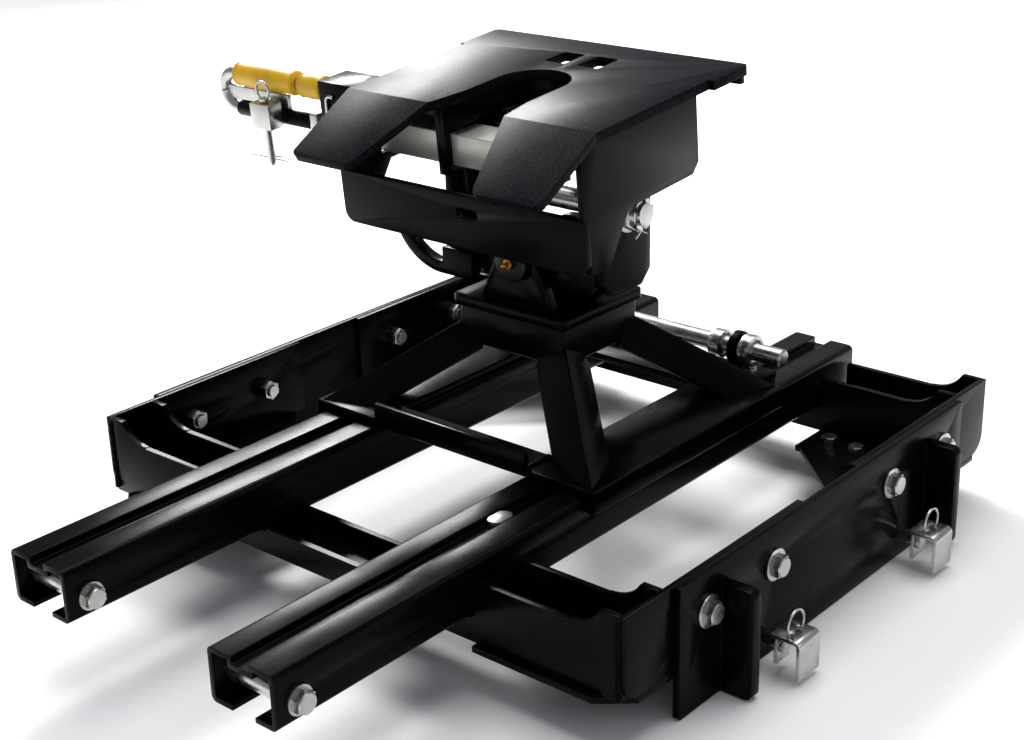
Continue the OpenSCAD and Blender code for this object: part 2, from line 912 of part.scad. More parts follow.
// block the kingpin's neck rests against, ahead of the lock bar
module kingpin_seat() {
    half = tab_x;
    front_v = 40;
    rear_v = -33;
    color(black) at_head() difference() {
        block([-half, rear_v, seat_low_w], [half, front_v, seat_top_w]);
        translate([0, seat_v, 0]) cylinder(d = seat_w, h = 200);
        block([-seat_w / 2, rear_v - 1, 0], [seat_w / 2, seat_v, 200]);
    }
}

module pivot_tabs() {
    r = 26;
    color(black) at_head() both_sides() difference() {
        slab_yz(tab_x, tab_x + tab_t) {
            translate([-r, 0]) square([r + 34, plate_low_w]);
            circle(r = r);
            translate([0, -r / 2]) square([34, r]);
        }
        rod_x(pitch_pin_d + 2 * fit, 0, 200);
    }
}

// blocks the lock bar runs through, one each side of the throat
module bar_guides() {
    x0 = throat_r + 11;
    t = 12;
    color(black) at_head() both_sides() difference() {
        block([x0, bar_v - 9, bar_w - 8], [x0 + t, bar_v + bar_d + 2, plate_low_w]);
        block([x0 - 1, bar_v - bar_gap, bar_w - bar_gap],
            [x0 + t + 1, bar_v + bar_d + bar_gap, bar_w + bar_h + bar_gap]);
    }
}

module rear_cross_plate() {
    r = 12;
    slot_x = 12;
    slot_w = 23.3;
    color(black) at_head() slab_xz(cross_v, cross_v + cross_t) difference() {
        union() {
            translate([0, (cross_low_w + cross_top_w) / 2])
                rounded_rect(2 * wall_x, cross_top_w - cross_low_w, r);
            translate([-wall_x, cross_top_w - 2 * r]) square([2 * wall_x, 2 * r]);
        }
        translate([slot_x, slot_w]) rounded_rect(27, 10, 4.9);
    }
}

// channel that carries the handle's upper rod
module wing_bracket() {
    t = 5;
    rear_v = -98;
    front_v = -57;
    top = plate_top_w - 0.7;
    color(black) at_head() {
        block([-wing_x, rear_v, top - t], [-wall_x, front_v, top]);
        block([-wing_x, rear_v, 52], [-wall_x, rear_v + t, top - t]);
        block([-wing_x, front_v - t, bar_w + bar_h + 3], [-wall_x, front_v, top - t]);
    }
}

// ---- lock bar and handle ----

module lock_bar() {
    nose = 5;
    color(zinc) at_head() translate([0, 0, bar_w]) linear_extrude(bar_h)
        polygon([[bar_start_x, bar_v], [bar_end_x - nose, bar_v], [bar_end_x, bar_v + nose],
            [bar_end_x, bar_v + bar_d - nose], [bar_end_x - nose, bar_v + bar_d],
            [bar_start_x, bar_v + bar_d]]);
}

// rod bent back on itself: a straight upper run, a half turn and a lower run
module handle_loop() {
    turn_r = (rod_high_w - rod_low_w) / 2;
    strip_t = 5;
    color(zinc) at_head() {
        translate([0, rod_v, rod_high_w]) rod_x(rod_d, rod_turn_x, -165);
        translate([0, rod_v, rod_low_w]) rod_x(rod_d, rod_turn_x, -226);
        translate([rod_turn_x, rod_v, (rod_high_w + rod_low_w) / 2]) rotate([90, 0, 0])
            rotate([0, 0, 90]) rotate_extrude(angle = 180) translate([turn_r, 0])
                circle(d = rod_d);
        block([rod_turn_x - turn_r, rod_v - strip_t / 2, rod_low_w + 9],
            [-262, rod_v + strip_t / 2, rod_high_w - grip_d / 2 - 0.5]);
    }
}

module handle_sleeve() {
    color(black) at_head() translate([0, rod_v, rod_low_w]) difference() {
        rod_x(17, -338, -228);
        rod_x(rod_d, -400, -200);
    }
}

module handle_link() {
    color(zinc) at_head()
        block([-226, rod_v - 10, rod_low_w - 14], [bar_start_x, bar_v + bar_d, rod_low_w + 12]);
}

module grip(x0, x1) {
    r = 4;
    translate([0, rod_v, rod_high_w]) difference() {
        union() {
            rod_x(grip_d, x0 + r, x1 - r);
            rod_x(grip_d - 2 * r, x0, x1);
            for (x = [x0 + r, x1 - r]) translate([x, 0, 0]) rotate([0, 90, 0])
                rotate_extrude() translate([grip_d / 2 - r, 0]) circle(r = r);
        }
        rod_x(rod_d, x0 - 1, x1 + 1);
    }
}

module handle_grips() {
    color(yellow) at_head() {
        grip(-335, -246);
        grip(-238, -204);
    }
}

// small block behind the sleeve that the safety pin drops through
module pin_keeper() {
    color(zinc) at_head() difference() {
        block([safety_x - 14, safety_v - 8, 56], [safety_x + 14, rod_v - 8.5, 82]);
        translate([safety_x, safety_v, 0]) cylinder(d = safety_d + 1.2, h = 200);
    }
}

module safety_pin() {
    low = 20;
    high = 84;
    color(zinc) at_head() translate([safety_x, safety_v, 0]) {
        difference() {
            union() {
                translate([0, 0, low]) cylinder(d = safety_d, h = high - low);
                translate([0, 0, low - 5]) cylinder(d1 = 3, d2 = safety_d, h = 5);
                translate([0, 0, high]) cylinder(d = 10, h = 3);
            }
            translate([0, 0, low + 3]) rod_x(2.6, -20, 20);
        }
        translate([0, 0, high + 11]) rotate([90, 0, 0])
            rotate_extrude() translate([9, 0]) circle(r = 1.3);
    }
}

module safety_clip() {
    d = 2.4;
    color(zinc) at_head() translate([safety_x, safety_v, 23]) {
        rod_x(d, -22, 26);
        translate([-22 - 5, 0, 0]) rotate_extrude() translate([5, 0]) circle(d = d);
    }
}

slide_rails();
travel_stop();
rail_end_bolts();
rail_end_sleeves();
cross_channels();
arm_end_plates();
gusset_plates();
gusset_bolts();
gusset_nuts();
side_plates();
foot_lugs();
side_plate_bolts();
side_plate_washers();
hex_nuts();
pull_pin_rear_left();
pull_pin_rear_right();
pull_pin_front_left();
pull_pin_front_right();
pin_handle_rear_left();
pin_handle_rear_right();
pin_handle_front_left();
pin_handle_front_right();
side_members();
crossbars();
carriage_legs();
pedestal_box();
pedestal_cap();
roll_ears();
shaft_brackets();
rock_shaft();
shaft_collars();
lock_pin_left();
lock_pin_right();
roll_pin();
roll_pin_nut();
grease_fitting();
yoke_saddle();
yoke_ears();
yoke_strap();
pitch_pin();
pitch_washers();
castle_nut();
cotter_pin();
top_plate();
side_walls();
entry_ramps();
throat_collar();
kingpin_seat();
pivot_tabs();
bar_guides();
rear_cross_plate();
wing_bracket();
lock_bar();
handle_loop();
handle_sleeve();
handle_link();
handle_grips();
pin_keeper();
safety_pin();
safety_clip();
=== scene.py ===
"""Fifth wheel hitch: finished surfaces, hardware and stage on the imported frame."""

import json
import math

import bmesh
import bpy
from bpy.props import FloatProperty, FloatVectorProperty, IntProperty, PointerProperty, StringProperty
from mathutils import Matrix, Vector

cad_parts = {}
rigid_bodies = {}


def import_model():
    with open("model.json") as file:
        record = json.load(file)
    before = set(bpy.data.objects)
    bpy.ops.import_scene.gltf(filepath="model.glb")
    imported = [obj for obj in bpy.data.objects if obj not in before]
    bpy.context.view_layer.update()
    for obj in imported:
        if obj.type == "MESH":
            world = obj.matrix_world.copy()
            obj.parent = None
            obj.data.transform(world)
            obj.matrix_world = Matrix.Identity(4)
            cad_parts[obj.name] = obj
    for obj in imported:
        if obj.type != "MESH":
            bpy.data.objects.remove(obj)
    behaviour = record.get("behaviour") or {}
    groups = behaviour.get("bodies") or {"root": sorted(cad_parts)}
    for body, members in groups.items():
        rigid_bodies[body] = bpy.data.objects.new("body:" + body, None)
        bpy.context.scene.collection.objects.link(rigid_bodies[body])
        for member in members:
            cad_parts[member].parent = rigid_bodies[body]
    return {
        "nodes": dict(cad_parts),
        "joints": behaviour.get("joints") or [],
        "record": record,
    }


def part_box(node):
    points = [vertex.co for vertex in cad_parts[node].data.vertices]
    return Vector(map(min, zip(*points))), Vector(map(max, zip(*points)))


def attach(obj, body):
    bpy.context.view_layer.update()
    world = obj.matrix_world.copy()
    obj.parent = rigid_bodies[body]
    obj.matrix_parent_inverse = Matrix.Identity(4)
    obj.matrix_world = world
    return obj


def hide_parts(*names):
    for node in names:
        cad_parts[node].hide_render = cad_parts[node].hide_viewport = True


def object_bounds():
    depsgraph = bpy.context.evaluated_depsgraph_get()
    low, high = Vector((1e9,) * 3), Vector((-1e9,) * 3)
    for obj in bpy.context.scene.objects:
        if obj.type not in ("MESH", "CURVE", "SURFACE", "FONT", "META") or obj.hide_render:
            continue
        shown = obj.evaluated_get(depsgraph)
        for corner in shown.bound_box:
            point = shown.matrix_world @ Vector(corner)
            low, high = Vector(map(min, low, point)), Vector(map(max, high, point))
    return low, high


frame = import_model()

bl_info = {
    "name": "Fifth Wheel Hitch",
    "version": (1, 0, 0),
    "blender": (4, 5, 0),
    "location": "View3D > Sidebar > Hitch",
    "description": "Builds the finished pieces of a fifth wheel hitch on its packed frame",
    "category": "Object",
}

NODES = frame["nodes"]
BODY_OF = {
    node: body
    for body, members in frame["record"]["behaviour"]["bodies"].items()
    for node in members
}
SLOT_OF = {part["node"]: part["material_slot"] for part in frame["record"]["subparts"]}
CAD_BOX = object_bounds()
MM = 0.001

# How close the vertices of a CAD mesh lie where they are one.
MERGE = 3e-6

# Places of the colour sockets on a Mix node, where other types share their names.
MIX_A, MIX_B, MIX_COLOUR = 6, 7, 2

# Second colours, as sRGB hex, that the finishes cloud, wear or sparkle towards; the plate's pale
# bluish fleck is partly a painted sheen.
ZINC_CLOUD, BAR_CLOUD, BRASS_CLOUD = "b3b2a6", "c3c8ba", "a8742c"
GREASE, GREASE_CLOUD = "34322e", "1d1b18"
GRIP_GRIME, PLATE_FLECK_AND_SHEEN, SKY_TINT = "a9760a", "8d919c", "f4f7ff"

# Sizes repeated from the CAD, the last two along the head's own X.
RAIL_SHEET, GROOVE_DEPTH = 5 * MM, 7 * MM
LOCK_SLOT = (17 * MM, 30 * MM)
BOLT_HOLE = 6.7 * MM
STRAP_END = -262 * MM
GRIP_GAP = (-246 * MM, -238 * MM)

# The head's own frame: it stands tilted on the pitch pin.
PITCH_JOINT = next(j for j in frame["joints"] if j["name"] == "head_pitch")
PLATE_MOUNT = next(m for m in frame["record"]["mounts"] if m["name"] == "bearing_plate")
HEAD_ORIGIN = Vector(PITCH_JOINT["pos_m"])
HEAD_TILT = math.atan2(-PLATE_MOUNT["axis"][1], PLATE_MOUNT["axis"][2])
HEAD_FRAME = Matrix.Translation(HEAD_ORIGIN) @ Matrix.Rotation(HEAD_TILT, 4, "X")


# ---- settings -------------------------------------------------------------


class HITCH_PG_finish(bpy.types.PropertyGroup):
    """Colours and surface sizes of the finishes"""

    coat: StringProperty(
        name="Coat", description="Powder coat on the steel, as sRGB hex", default="050506"
    )
    plate_coat: StringProperty(
        name="Plate coat", description="Textured coat on the top plate, as sRGB hex", default="0d0e12"
    )
    zinc: StringProperty(
        name="Zinc", description="Zinc plating on the hardware, as sRGB hex", default="c9cbce"
    )
    bar_zinc: StringProperty(
        name="Bar zinc", description="Duller plating on the lock bar, as sRGB hex", default="e0e3d8"
    )
    grip: StringProperty(
        name="Grip", description="Dipped vinyl on the handle, as sRGB hex", default="e9b80f"
    )
    brass: StringProperty(
        name="Brass", description="Grease fitting, as sRGB hex", default="c08a3a"
    )
    peel: FloatProperty(
        name="Orange peel", description="Width of one ripple in the powder coat",
        default=0.0022, unit="LENGTH",
    )
    edge: FloatProperty(
        name="Edge radius", description="How far the edges of sheared plate are broken",
        default=0.0011, unit="LENGTH",
    )


class HITCH_PG_hardware(bpy.types.PropertyGroup):
    """Sizes of the fasteners and rods"""

    frame_flats: FloatProperty(
        name="Frame bolt flats", description="Across the flats of the 1/2 inch bolts",
        default=0.019, unit="LENGTH",
    )
    gusset_flats: FloatProperty(
        name="Gusset bolt flats", description="Across the flats of the gusset bolts",
        default=0.016, unit="LENGTH",
    )
    thread_pitch: FloatProperty(
        name="Thread pitch", description="Distance between two ridges of a bolt's thread",
        default=0.002, unit="LENGTH",
    )
    rod: FloatProperty(
        name="Handle rod", description="Thickness of the handle's bent rod",
        default=0.013, unit="LENGTH",
    )


class HITCH_PG_welds(bpy.types.PropertyGroup):
    """Sizes of the weld beads"""

    width: FloatProperty(
        name="Bead width", description="Width of a weld bead", default=0.0062, unit="LENGTH"
    )
    ripple: FloatProperty(
        name="Ripple spacing", description="Distance between two ripples of a bead",
        default=0.0028, unit="LENGTH",
    )
    seed: IntProperty(name="Seed", description="Seed of the beads' unevenness", default=7)


class HITCH_PG_stage(bpy.types.PropertyGroup):
    """Floor, lights and camera"""

    azimuth: FloatProperty(
        name="Azimuth", description="Camera's turn round the hitch",
        default=math.radians(41.15), subtype="ANGLE",
    )
    elevation: FloatProperty(
        name="Elevation", description="Camera's height as an angle",
        default=math.radians(22.12), subtype="ANGLE",
    )
    roll: FloatProperty(
        name="Roll", description="Camera's lean", default=math.radians(-1.65), subtype="ANGLE"
    )
    lens: FloatProperty(name="Lens", description="Focal length in millimetres", default=61.0)
    position: FloatVectorProperty(
        name="Camera position", description="Where the camera stands", size=3,
        default=(1.0471, -1.1469, 0.8211), subtype="XYZ", unit="LENGTH",
    )
    floor: StringProperty(name="Floor", description="Floor colour as sRGB hex", default="fdfdfd")
    sky: FloatProperty(
        name="Sky", description="Strength of the even light all round", default=0.32, min=0.0
    )
    overhead: FloatProperty(
        name="Overhead", description="Strength of the broad light from above", default=1.9, min=0.0
    )
    window: FloatProperty(
        name="Window", description="Power of the panels round the hitch", default=50.0,
        min=0.0, unit="POWER",
    )


SETTINGS = {
    "hitch_finish": HITCH_PG_finish,
    "hitch_hardware": HITCH_PG_hardware,
    "hitch_welds": HITCH_PG_welds,
    "hitch_stage": HITCH_PG_stage,
}


# ---- shared helpers -------------------------------------------------------


def linear(hex_colour):
    """sRGB hex to a linear RGBA tuple."""
    channels = [int(hex_colour[i:i + 2], 16) / 255 for i in (0, 2, 4)]
    return (
        *(c / 12.92 if c <= 0.04045 else ((c + 0.055) / 1.055) ** 2.4 for c in channels),
        1.0,
    )


def add(tree, kind, links=None, values=None, **attributes):
    """Adds a node of that kind: links are {input: (node, output)}, values are {input: constant},
    and the rest are the node's own attributes."""
    node = tree.nodes.new(kind)
    for key, value in attributes.items():
        setattr(node, key, value)
    for key, value in (values or {}).items():
        node.inputs[key].default_value = value
    for key, (source, output) in (links or {}).items():
        tree.links.new(source.outputs[output], node.inputs[key])
    return node


def new_material(name):
    """A node material holding only its output, a shader and texture coordinates."""
    material = bpy.data.materials.new(name)
    material.use_nodes = True
    tree = material.node_tree
    tree.nodes.clear()
    shader = add(tree, "ShaderNodeBsdfPrincipled")
    add(tree, "ShaderNodeOutputMaterial", {"Surface": (shader, "BSDF")})
    coords = add(tree, "ShaderNodeTexCoord")
    return material, tree, shader, coords


def powder_coat(name, hex_colour, peel, rough, dust, gloss_level, fleck_and_sheen=0.0):
    """Baked powder coat: dark and smooth, with an orange-peel ripple that breaks up its
    reflections, and a little dust and rubbing that lightens it in patches. With a fleck share it
    is the plate's textured coat, rougher to the eye and speckled with pale bluish grains that are
    partly the coat's grit and partly a painted sheen."""
    material, tree, shader, coords = new_material(name)
    base = linear(hex_colour)
    pale = tuple(min(1.0, c + dust) for c in base[:3]) + (1.0,)
    patches = add(
        tree, "ShaderNodeTexNoise", {"Vector": (coords, "Object")},
        values={"Scale": 9.0, "Detail": 6.0, "Roughness": 0.62},
    )
    spread = add(
        tree, "ShaderNodeMapRange", {"Value": (patches, "Fac")},
        values={"From Min": 0.45, "From Max": 0.75, "To Min": 0.0, "To Max": 1.0},
    )
    colour = add(
        tree, "ShaderNodeMix", {"Factor": (spread, "Result")}, data_type="RGBA",
        values={MIX_A: base, MIX_B: pale},
    )
    if fleck_and_sheen:
        # Pale bluish specks lightening the base colour: partly the coat's grains, partly a painted
        # sheen.
        grain_and_sheen = add(
            tree, "ShaderNodeTexVoronoi", {"Vector": (coords, "Object")},
            values={"Scale": 1 / (peel * 1.2)},
        )
        sparkle = add(
            tree, "ShaderNodeMapRange", {"Value": (grain_and_sheen, "Distance")},
            values={"From Min": 0.0, "From Max": 0.28, "To Min": fleck_and_sheen, "To Max": 0.0},
        )
        colour = add(
            tree, "ShaderNodeMix", {"Factor": (sparkle, "Result"), MIX_A: (colour, MIX_COLOUR)},
            data_type="RGBA", values={MIX_B: linear(PLATE_FLECK_AND_SHEEN)},
        )
    tree.links.new(colour.outputs[MIX_COLOUR], shader.inputs["Base Color"])
    gloss = add(
        tree, "ShaderNodeMapRange", {"Value": (patches, "Fac")},
        values={"From Min": 0.3, "From Max": 0.7, "To Min": rough - 0.05, "To Max": rough + 0.09},
    )
    tree.links.new(gloss.outputs["Result"], shader.inputs["Roughness"])
    ripple = add(
        tree, "ShaderNodeTexNoise", {"Vector": (coords, "Object")},
        values={"Scale": 1 / peel, "Detail": 2.0, "Roughness": 0.5},
    )
    bump = add(
        tree, "ShaderNodeBump", {"Height": (ripple, "Fac")},
        values={"Strength": 0.28 + 0.4 * bool(fleck_and_sheen), "Distance": 0.0002},
    )
    tree.links.new(bump.outputs["Normal"], shader.inputs["Normal"])
    shader.inputs["IOR"].default_value = 1.46
    shader.inputs["Specular IOR Level"].default_value = gloss_level
    return material


def zinc_plate(name, hex_colour, tint, rough, metal=1.0):
    """Plated or bare metal: a dulled shine, clouding towards the tint and fine marks from the
    tumbler. A metal share under 1 gives the pale, flat look of worn plating."""
    material, tree, shader, coords = new_material(name)
    clouds = add(
        tree, "ShaderNodeTexNoise", {"Vector": (coords, "Object")},
        values={"Scale": 55.0, "Detail": 5.0, "Roughness": 0.6},
    )
    colour = add(
        tree, "ShaderNodeMix", {"Factor": (clouds, "Fac")}, data_type="RGBA",
        values={MIX_A: linear(hex_colour), MIX_B: linear(tint)},
    )
    tree.links.new(colour.outputs[MIX_COLOUR], shader.inputs["Base Color"])
    shader.inputs["Metallic"].default_value = metal
    gloss = add(
        tree, "ShaderNodeMapRange", {"Value": (clouds, "Fac")},
        values={"From Min": 0.3, "From Max": 0.7, "To Min": rough - 0.06, "To Max": rough + 0.1},
    )
    tree.links.new(gloss.outputs["Result"], shader.inputs["Roughness"])
    marks = add(
        tree, "ShaderNodeTexNoise", {"Vector": (coords, "Object")},
        values={"Scale": 900.0, "Detail": 3.0, "Roughness": 0.7},
    )
    bump = add(
        tree, "ShaderNodeBump", {"Height": (marks, "Fac")},
        values={"Strength": 0.12, "Distance": 0.0001},
    )
    tree.links.new(bump.outputs["Normal"], shader.inputs["Normal"])
    return material


def dipped_vinyl(name, hex_colour):
    """Vinyl dipped over the rod: soft sheen, a pebbled skin about 1 mm apart, and grime that
    darkens it in patches."""
    material, tree, shader, coords = new_material(name)
    base = linear(hex_colour)
    grime = add(
        tree, "ShaderNodeTexNoise", {"Vector": (coords, "Object")},
        values={"Scale": 38.0, "Detail": 6.0, "Roughness": 0.65},
    )
    amount = add(
        tree, "ShaderNodeMapRange", {"Value": (grime, "Fac")},
        values={"From Min": 0.5, "From Max": 0.8, "To Min": 0.0, "To Max": 0.7},
    )
    colour = add(
        tree, "ShaderNodeMix", {"Factor": (amount, "Result")}, data_type="RGBA",
        values={MIX_A: base, MIX_B: linear(GRIP_GRIME)},
    )
    tree.links.new(colour.outputs[MIX_COLOUR], shader.inputs["Base Color"])
    shader.inputs["Roughness"].default_value = 0.42
    shader.inputs["IOR"].default_value = 1.5
    pebble = add(
        tree, "ShaderNodeTexVoronoi", {"Vector": (coords, "Object")},
        values={"Scale": 900.0},
    )
    bump = add(
        tree, "ShaderNodeBump", {"Height": (pebble, "Distance")},
        values={"Strength": 0.35, "Distance": 0.0002},
    )
    tree.links.new(bump.outputs["Normal"], shader.inputs["Normal"])
    return material


def material(key):
    """The finish of that key, made once. Its name differs from the record's slot, whose own
    plain material is already in the file."""
    finish = bpy.context.scene.hitch_finish
    name = f"{key}_finish"
    made = bpy.data.materials.get(name)
    if made:
        return made
    makers = {
        "black_powder_coat": lambda: powder_coat(
            name, finish.coat, peel=finish.peel, rough=0.22, dust=0.003, gloss_level=0.06
        ),
        # The plate's pale flecks are partly real grains, partly a painted sheen.
        "textured_plate_coat": lambda: powder_coat(
            name, finish.plate_coat, peel=1.6 * MM, rough=0.3, dust=0.006, gloss_level=0.025,
            fleck_and_sheen=0.3,
        ),
        "zinc_plate": lambda: zinc_plate(name, finish.zinc, ZINC_CLOUD, rough=0.27),
        "dull_zinc_bar": lambda: zinc_plate(
            name, finish.bar_zinc, BAR_CLOUD, rough=0.4, metal=0.55
        ),
        "greased_steel": lambda: zinc_plate(name, GREASE, GREASE_CLOUD, rough=0.34),
        "yellow_grip": lambda: dipped_vinyl(name, finish.grip),
        "brass": lambda: zinc_plate(name, finish.brass, BRASS_CLOUD, rough=0.3),
    }
    return makers[key]()


def mesh_piece(name, mesh, body, finish, *nodes):
    """Puts a finished mesh in the scene on its body, in place of the CAD nodes named."""
    piece = bpy.data.objects.new(name, mesh)
    bpy.context.scene.collection.objects.link(piece)
    mesh.materials.clear()
    mesh.materials.append(material(finish))
    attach(piece, body)
    if nodes:
        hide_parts(*nodes)
    return piece


def smooth_mesh(bm, name, angle=32):
    """The bmesh as a mesh, shaded smooth except across edges sharper than angle."""
    mesh = bpy.data.meshes.new(name)
    bm.to_mesh(mesh)
    bm.free()
    mesh.shade_smooth()
    mesh.set_sharp_from_angle(angle=math.radians(angle))
    return mesh


def softened(node, width, finish=None, segments=2, angle=28):
    """A copy of a CAD node with its vertices merged, flat faces joined and sharp edges rounded."""
    bm = bmesh.new()
    bm.from_mesh(NODES[node].data)
    bmesh.ops.remove_doubles(bm, verts=bm.verts, dist=MERGE)
    bmesh.ops.dissolve_limit(
        bm, angle_limit=math.radians(0.8), verts=bm.verts, edges=bm.edges
    )
    sharp = [
        e for e in bm.edges
        if len(e.link_faces) == 2 and e.calc_face_angle(0.0) > math.radians(angle)
    ]
    bmesh.ops.bevel(
        bm, geom=sharp, offset=width, offset_type="OFFSET", segments=segments, profile=0.5,
        affect="EDGES", clamp_overlap=True,
    )
    bmesh.ops.recalc_face_normals(bm, faces=bm.faces)
    name = f"{node}_finished"
    return mesh_piece(name, smooth_mesh(bm, name), BODY_OF[node], finish or SLOT_OF[node], node)


def box_of(points):
    """Box (low, high) round a list of points."""
    return (
        Vector(min(p[i] for p in points) for i in range(3)),
        Vector(max(p[i] for p in points) for i in range(3)),
    )


def in_head(node):
    """Box (low, high) of a CAD node in the head's own frame."""
    to_head = HEAD_FRAME.inverted()
    return box_of([to_head @ v.co for v in NODES[node].data.vertices])


def islands(node):
    """Boxes (low, high) of the separate solids of a CAD node, in a steady order."""
    bm = bmesh.new()
    bm.from_mesh(NODES[node].data)
    bmesh.ops.remove_doubles(bm, verts=bm.verts, dist=MERGE)
    left, found = set(bm.verts), []
    while left:
        stack, group = [left.pop()], []
        while stack:
            v = stack.pop()
            group.append(v.co.copy())
            for e in v.link_edges:
                other = e.other_vert(v)
                if other in left:
                    left.remove(other)
                    stack.append(other)
        found.append(box_of(group))
    bm.free()
    return sorted(found, key=lambda b: tuple(round(c, 4) for c in b[0]))


def polyline(paths, closed=False, place=Matrix.Identity(4)):
    """A mesh of edges through each list of points."""
    mesh = bpy.data.meshes.new("paths")
    verts, edges = [], []
    for path in paths:
        first = len(verts)
        verts += [place @ Vector(p) for p in path]
        edges += [(first + i, first + i + 1) for i in range(len(path) - 1)]
        if closed:
            edges.append((len(verts) - 1, first))
    mesh.from_pydata(verts, edges, [])
    return mesh


def new_tree(name, inputs):
    """A geometry node tree with a geometry input and output and the named inputs."""
    tree = bpy.data.node_groups.new(name, "GeometryNodeTree")
    tree.interface.new_socket("Geometry", in_out="INPUT", socket_type="NodeSocketGeometry")
    for label, (kind, value) in inputs.items():
        socket = tree.interface.new_socket(label, in_out="INPUT", socket_type=f"NodeSocket{kind}")
        if value is not None:
            socket.default_value = value
    tree.interface.new_socket("Geometry", in_out="OUTPUT", socket_type="NodeSocketGeometry")
    return tree, add(tree, "NodeGroupInput")


def finish_tree(tree, source, output, group_in):
    """Ends a tree in Realize Instances and Set Material."""
    real = add(tree, "GeometryNodeRealizeInstances", {"Geometry": (source, output)})
    painted = add(
        tree, "GeometryNodeSetMaterial",
        {"Geometry": (real, "Geometry"), "Material": (group_in, "Material")},
    )
    add(tree, "NodeGroupOutput", {"Geometry": (painted, "Geometry")})


def run_tree(tree, mesh, values, name, body, finish, *nodes):
    """Runs a node tree on a mesh and keeps the result as a plain mesh piece."""
    carrier = bpy.data.objects.new("carrier", mesh)
    bpy.context.scene.collection.objects.link(carrier)
    modifier = carrier.modifiers.new("tree", "NODES")
    modifier.node_group = tree
    sockets = {
        item.name: item.identifier
        for item in tree.interface.items_tree
        if item.item_type == "SOCKET" and item.in_out == "INPUT"
    }
    for label, value in {"Material": material(finish), **values}.items():
        modifier[sockets[label]] = value
    depsgraph = bpy.context.evaluated_depsgraph_get()
    made = bpy.data.meshes.new_from_object(carrier.evaluated_get(depsgraph))
    made.name = name
    bpy.data.objects.remove(carrier)
    if not made.polygons:
        raise RuntimeError(f"{name} came out empty")
    return mesh_piece(name, made, body, finish, *nodes)


# ---- node trees -----------------------------------------------------------


def rod_tree():
    """Round rod or wire bent along each polyline."""
    if "bent_rod" in bpy.data.node_groups:
        return bpy.data.node_groups["bent_rod"]
    tree, start = new_tree("bent_rod", {
        "Radius": ("Float", 0.001), "Bend": ("Float", 0.004), "Sides": ("Int", 14),
        "Material": ("Material", None),
    })
    curve = add(tree, "GeometryNodeMeshToCurve", {"Mesh": (start, "Geometry")})
    bent = add(
        tree, "GeometryNodeFilletCurve", {"Curve": (curve, "Curve"), "Radius": (start, "Bend")},
        mode="POLY", values={"Limit Radius": True, "Count": 12},
    )
    ring = add(
        tree, "GeometryNodeCurvePrimitiveCircle",
        {"Radius": (start, "Radius"), "Resolution": (start, "Sides")},
    )
    tube = add(
        tree, "GeometryNodeCurveToMesh", {"Curve": (bent, "Curve"), "Profile Curve": (ring, "Curve")},
        values={"Fill Caps": True},
    )
    finish_tree(tree, tube, "Mesh", start)
    return tree


def bead_tree():
    """Weld bead: overlapping flattened ripples along each polyline."""
    if "weld_bead" in bpy.data.node_groups:
        return bpy.data.node_groups["weld_bead"]
    tree, start = new_tree("weld_bead", {
        "Width": ("Float", 0.006), "Ripple": ("Float", 0.003), "Seed": ("Int", 1),
        "Material": ("Material", None),
    })
    curve = add(tree, "GeometryNodeMeshToCurve", {"Mesh": (start, "Geometry")})
    spaced = add(
        tree, "GeometryNodeResampleCurve", {"Curve": (curve, "Curve"), "Length": (start, "Ripple")},
        mode="LENGTH",
    )
    half = add(
        tree, "ShaderNodeMath", {0: (start, "Width")}, operation="MULTIPLY", values={1: 0.5}
    )
    ripple = add(
        tree, "GeometryNodeMeshUVSphere", {"Radius": (half, 0)},
        values={"Segments": 8, "Rings": 6},
    )
    tangent = add(tree, "GeometryNodeInputTangent")
    turned = add(
        tree, "FunctionNodeAlignRotationToVector", {"Vector": (tangent, "Tangent")}, axis="X"
    )
    uneven = add(
        tree, "FunctionNodeRandomValue", {"Seed": (start, "Seed")}, data_type="FLOAT_VECTOR",
        values={0: (0.62, 0.85, 0.85), 1: (0.78, 1.08, 1.08)},
    )
    beads = add(
        tree, "GeometryNodeInstanceOnPoints",
        {"Points": (spaced, "Curve"), "Instance": (ripple, "Mesh"),
         "Rotation": (turned, "Rotation"), "Scale": (uneven, 0)},
    )
    finish_tree(tree, beads, "Instances", start)
    return tree


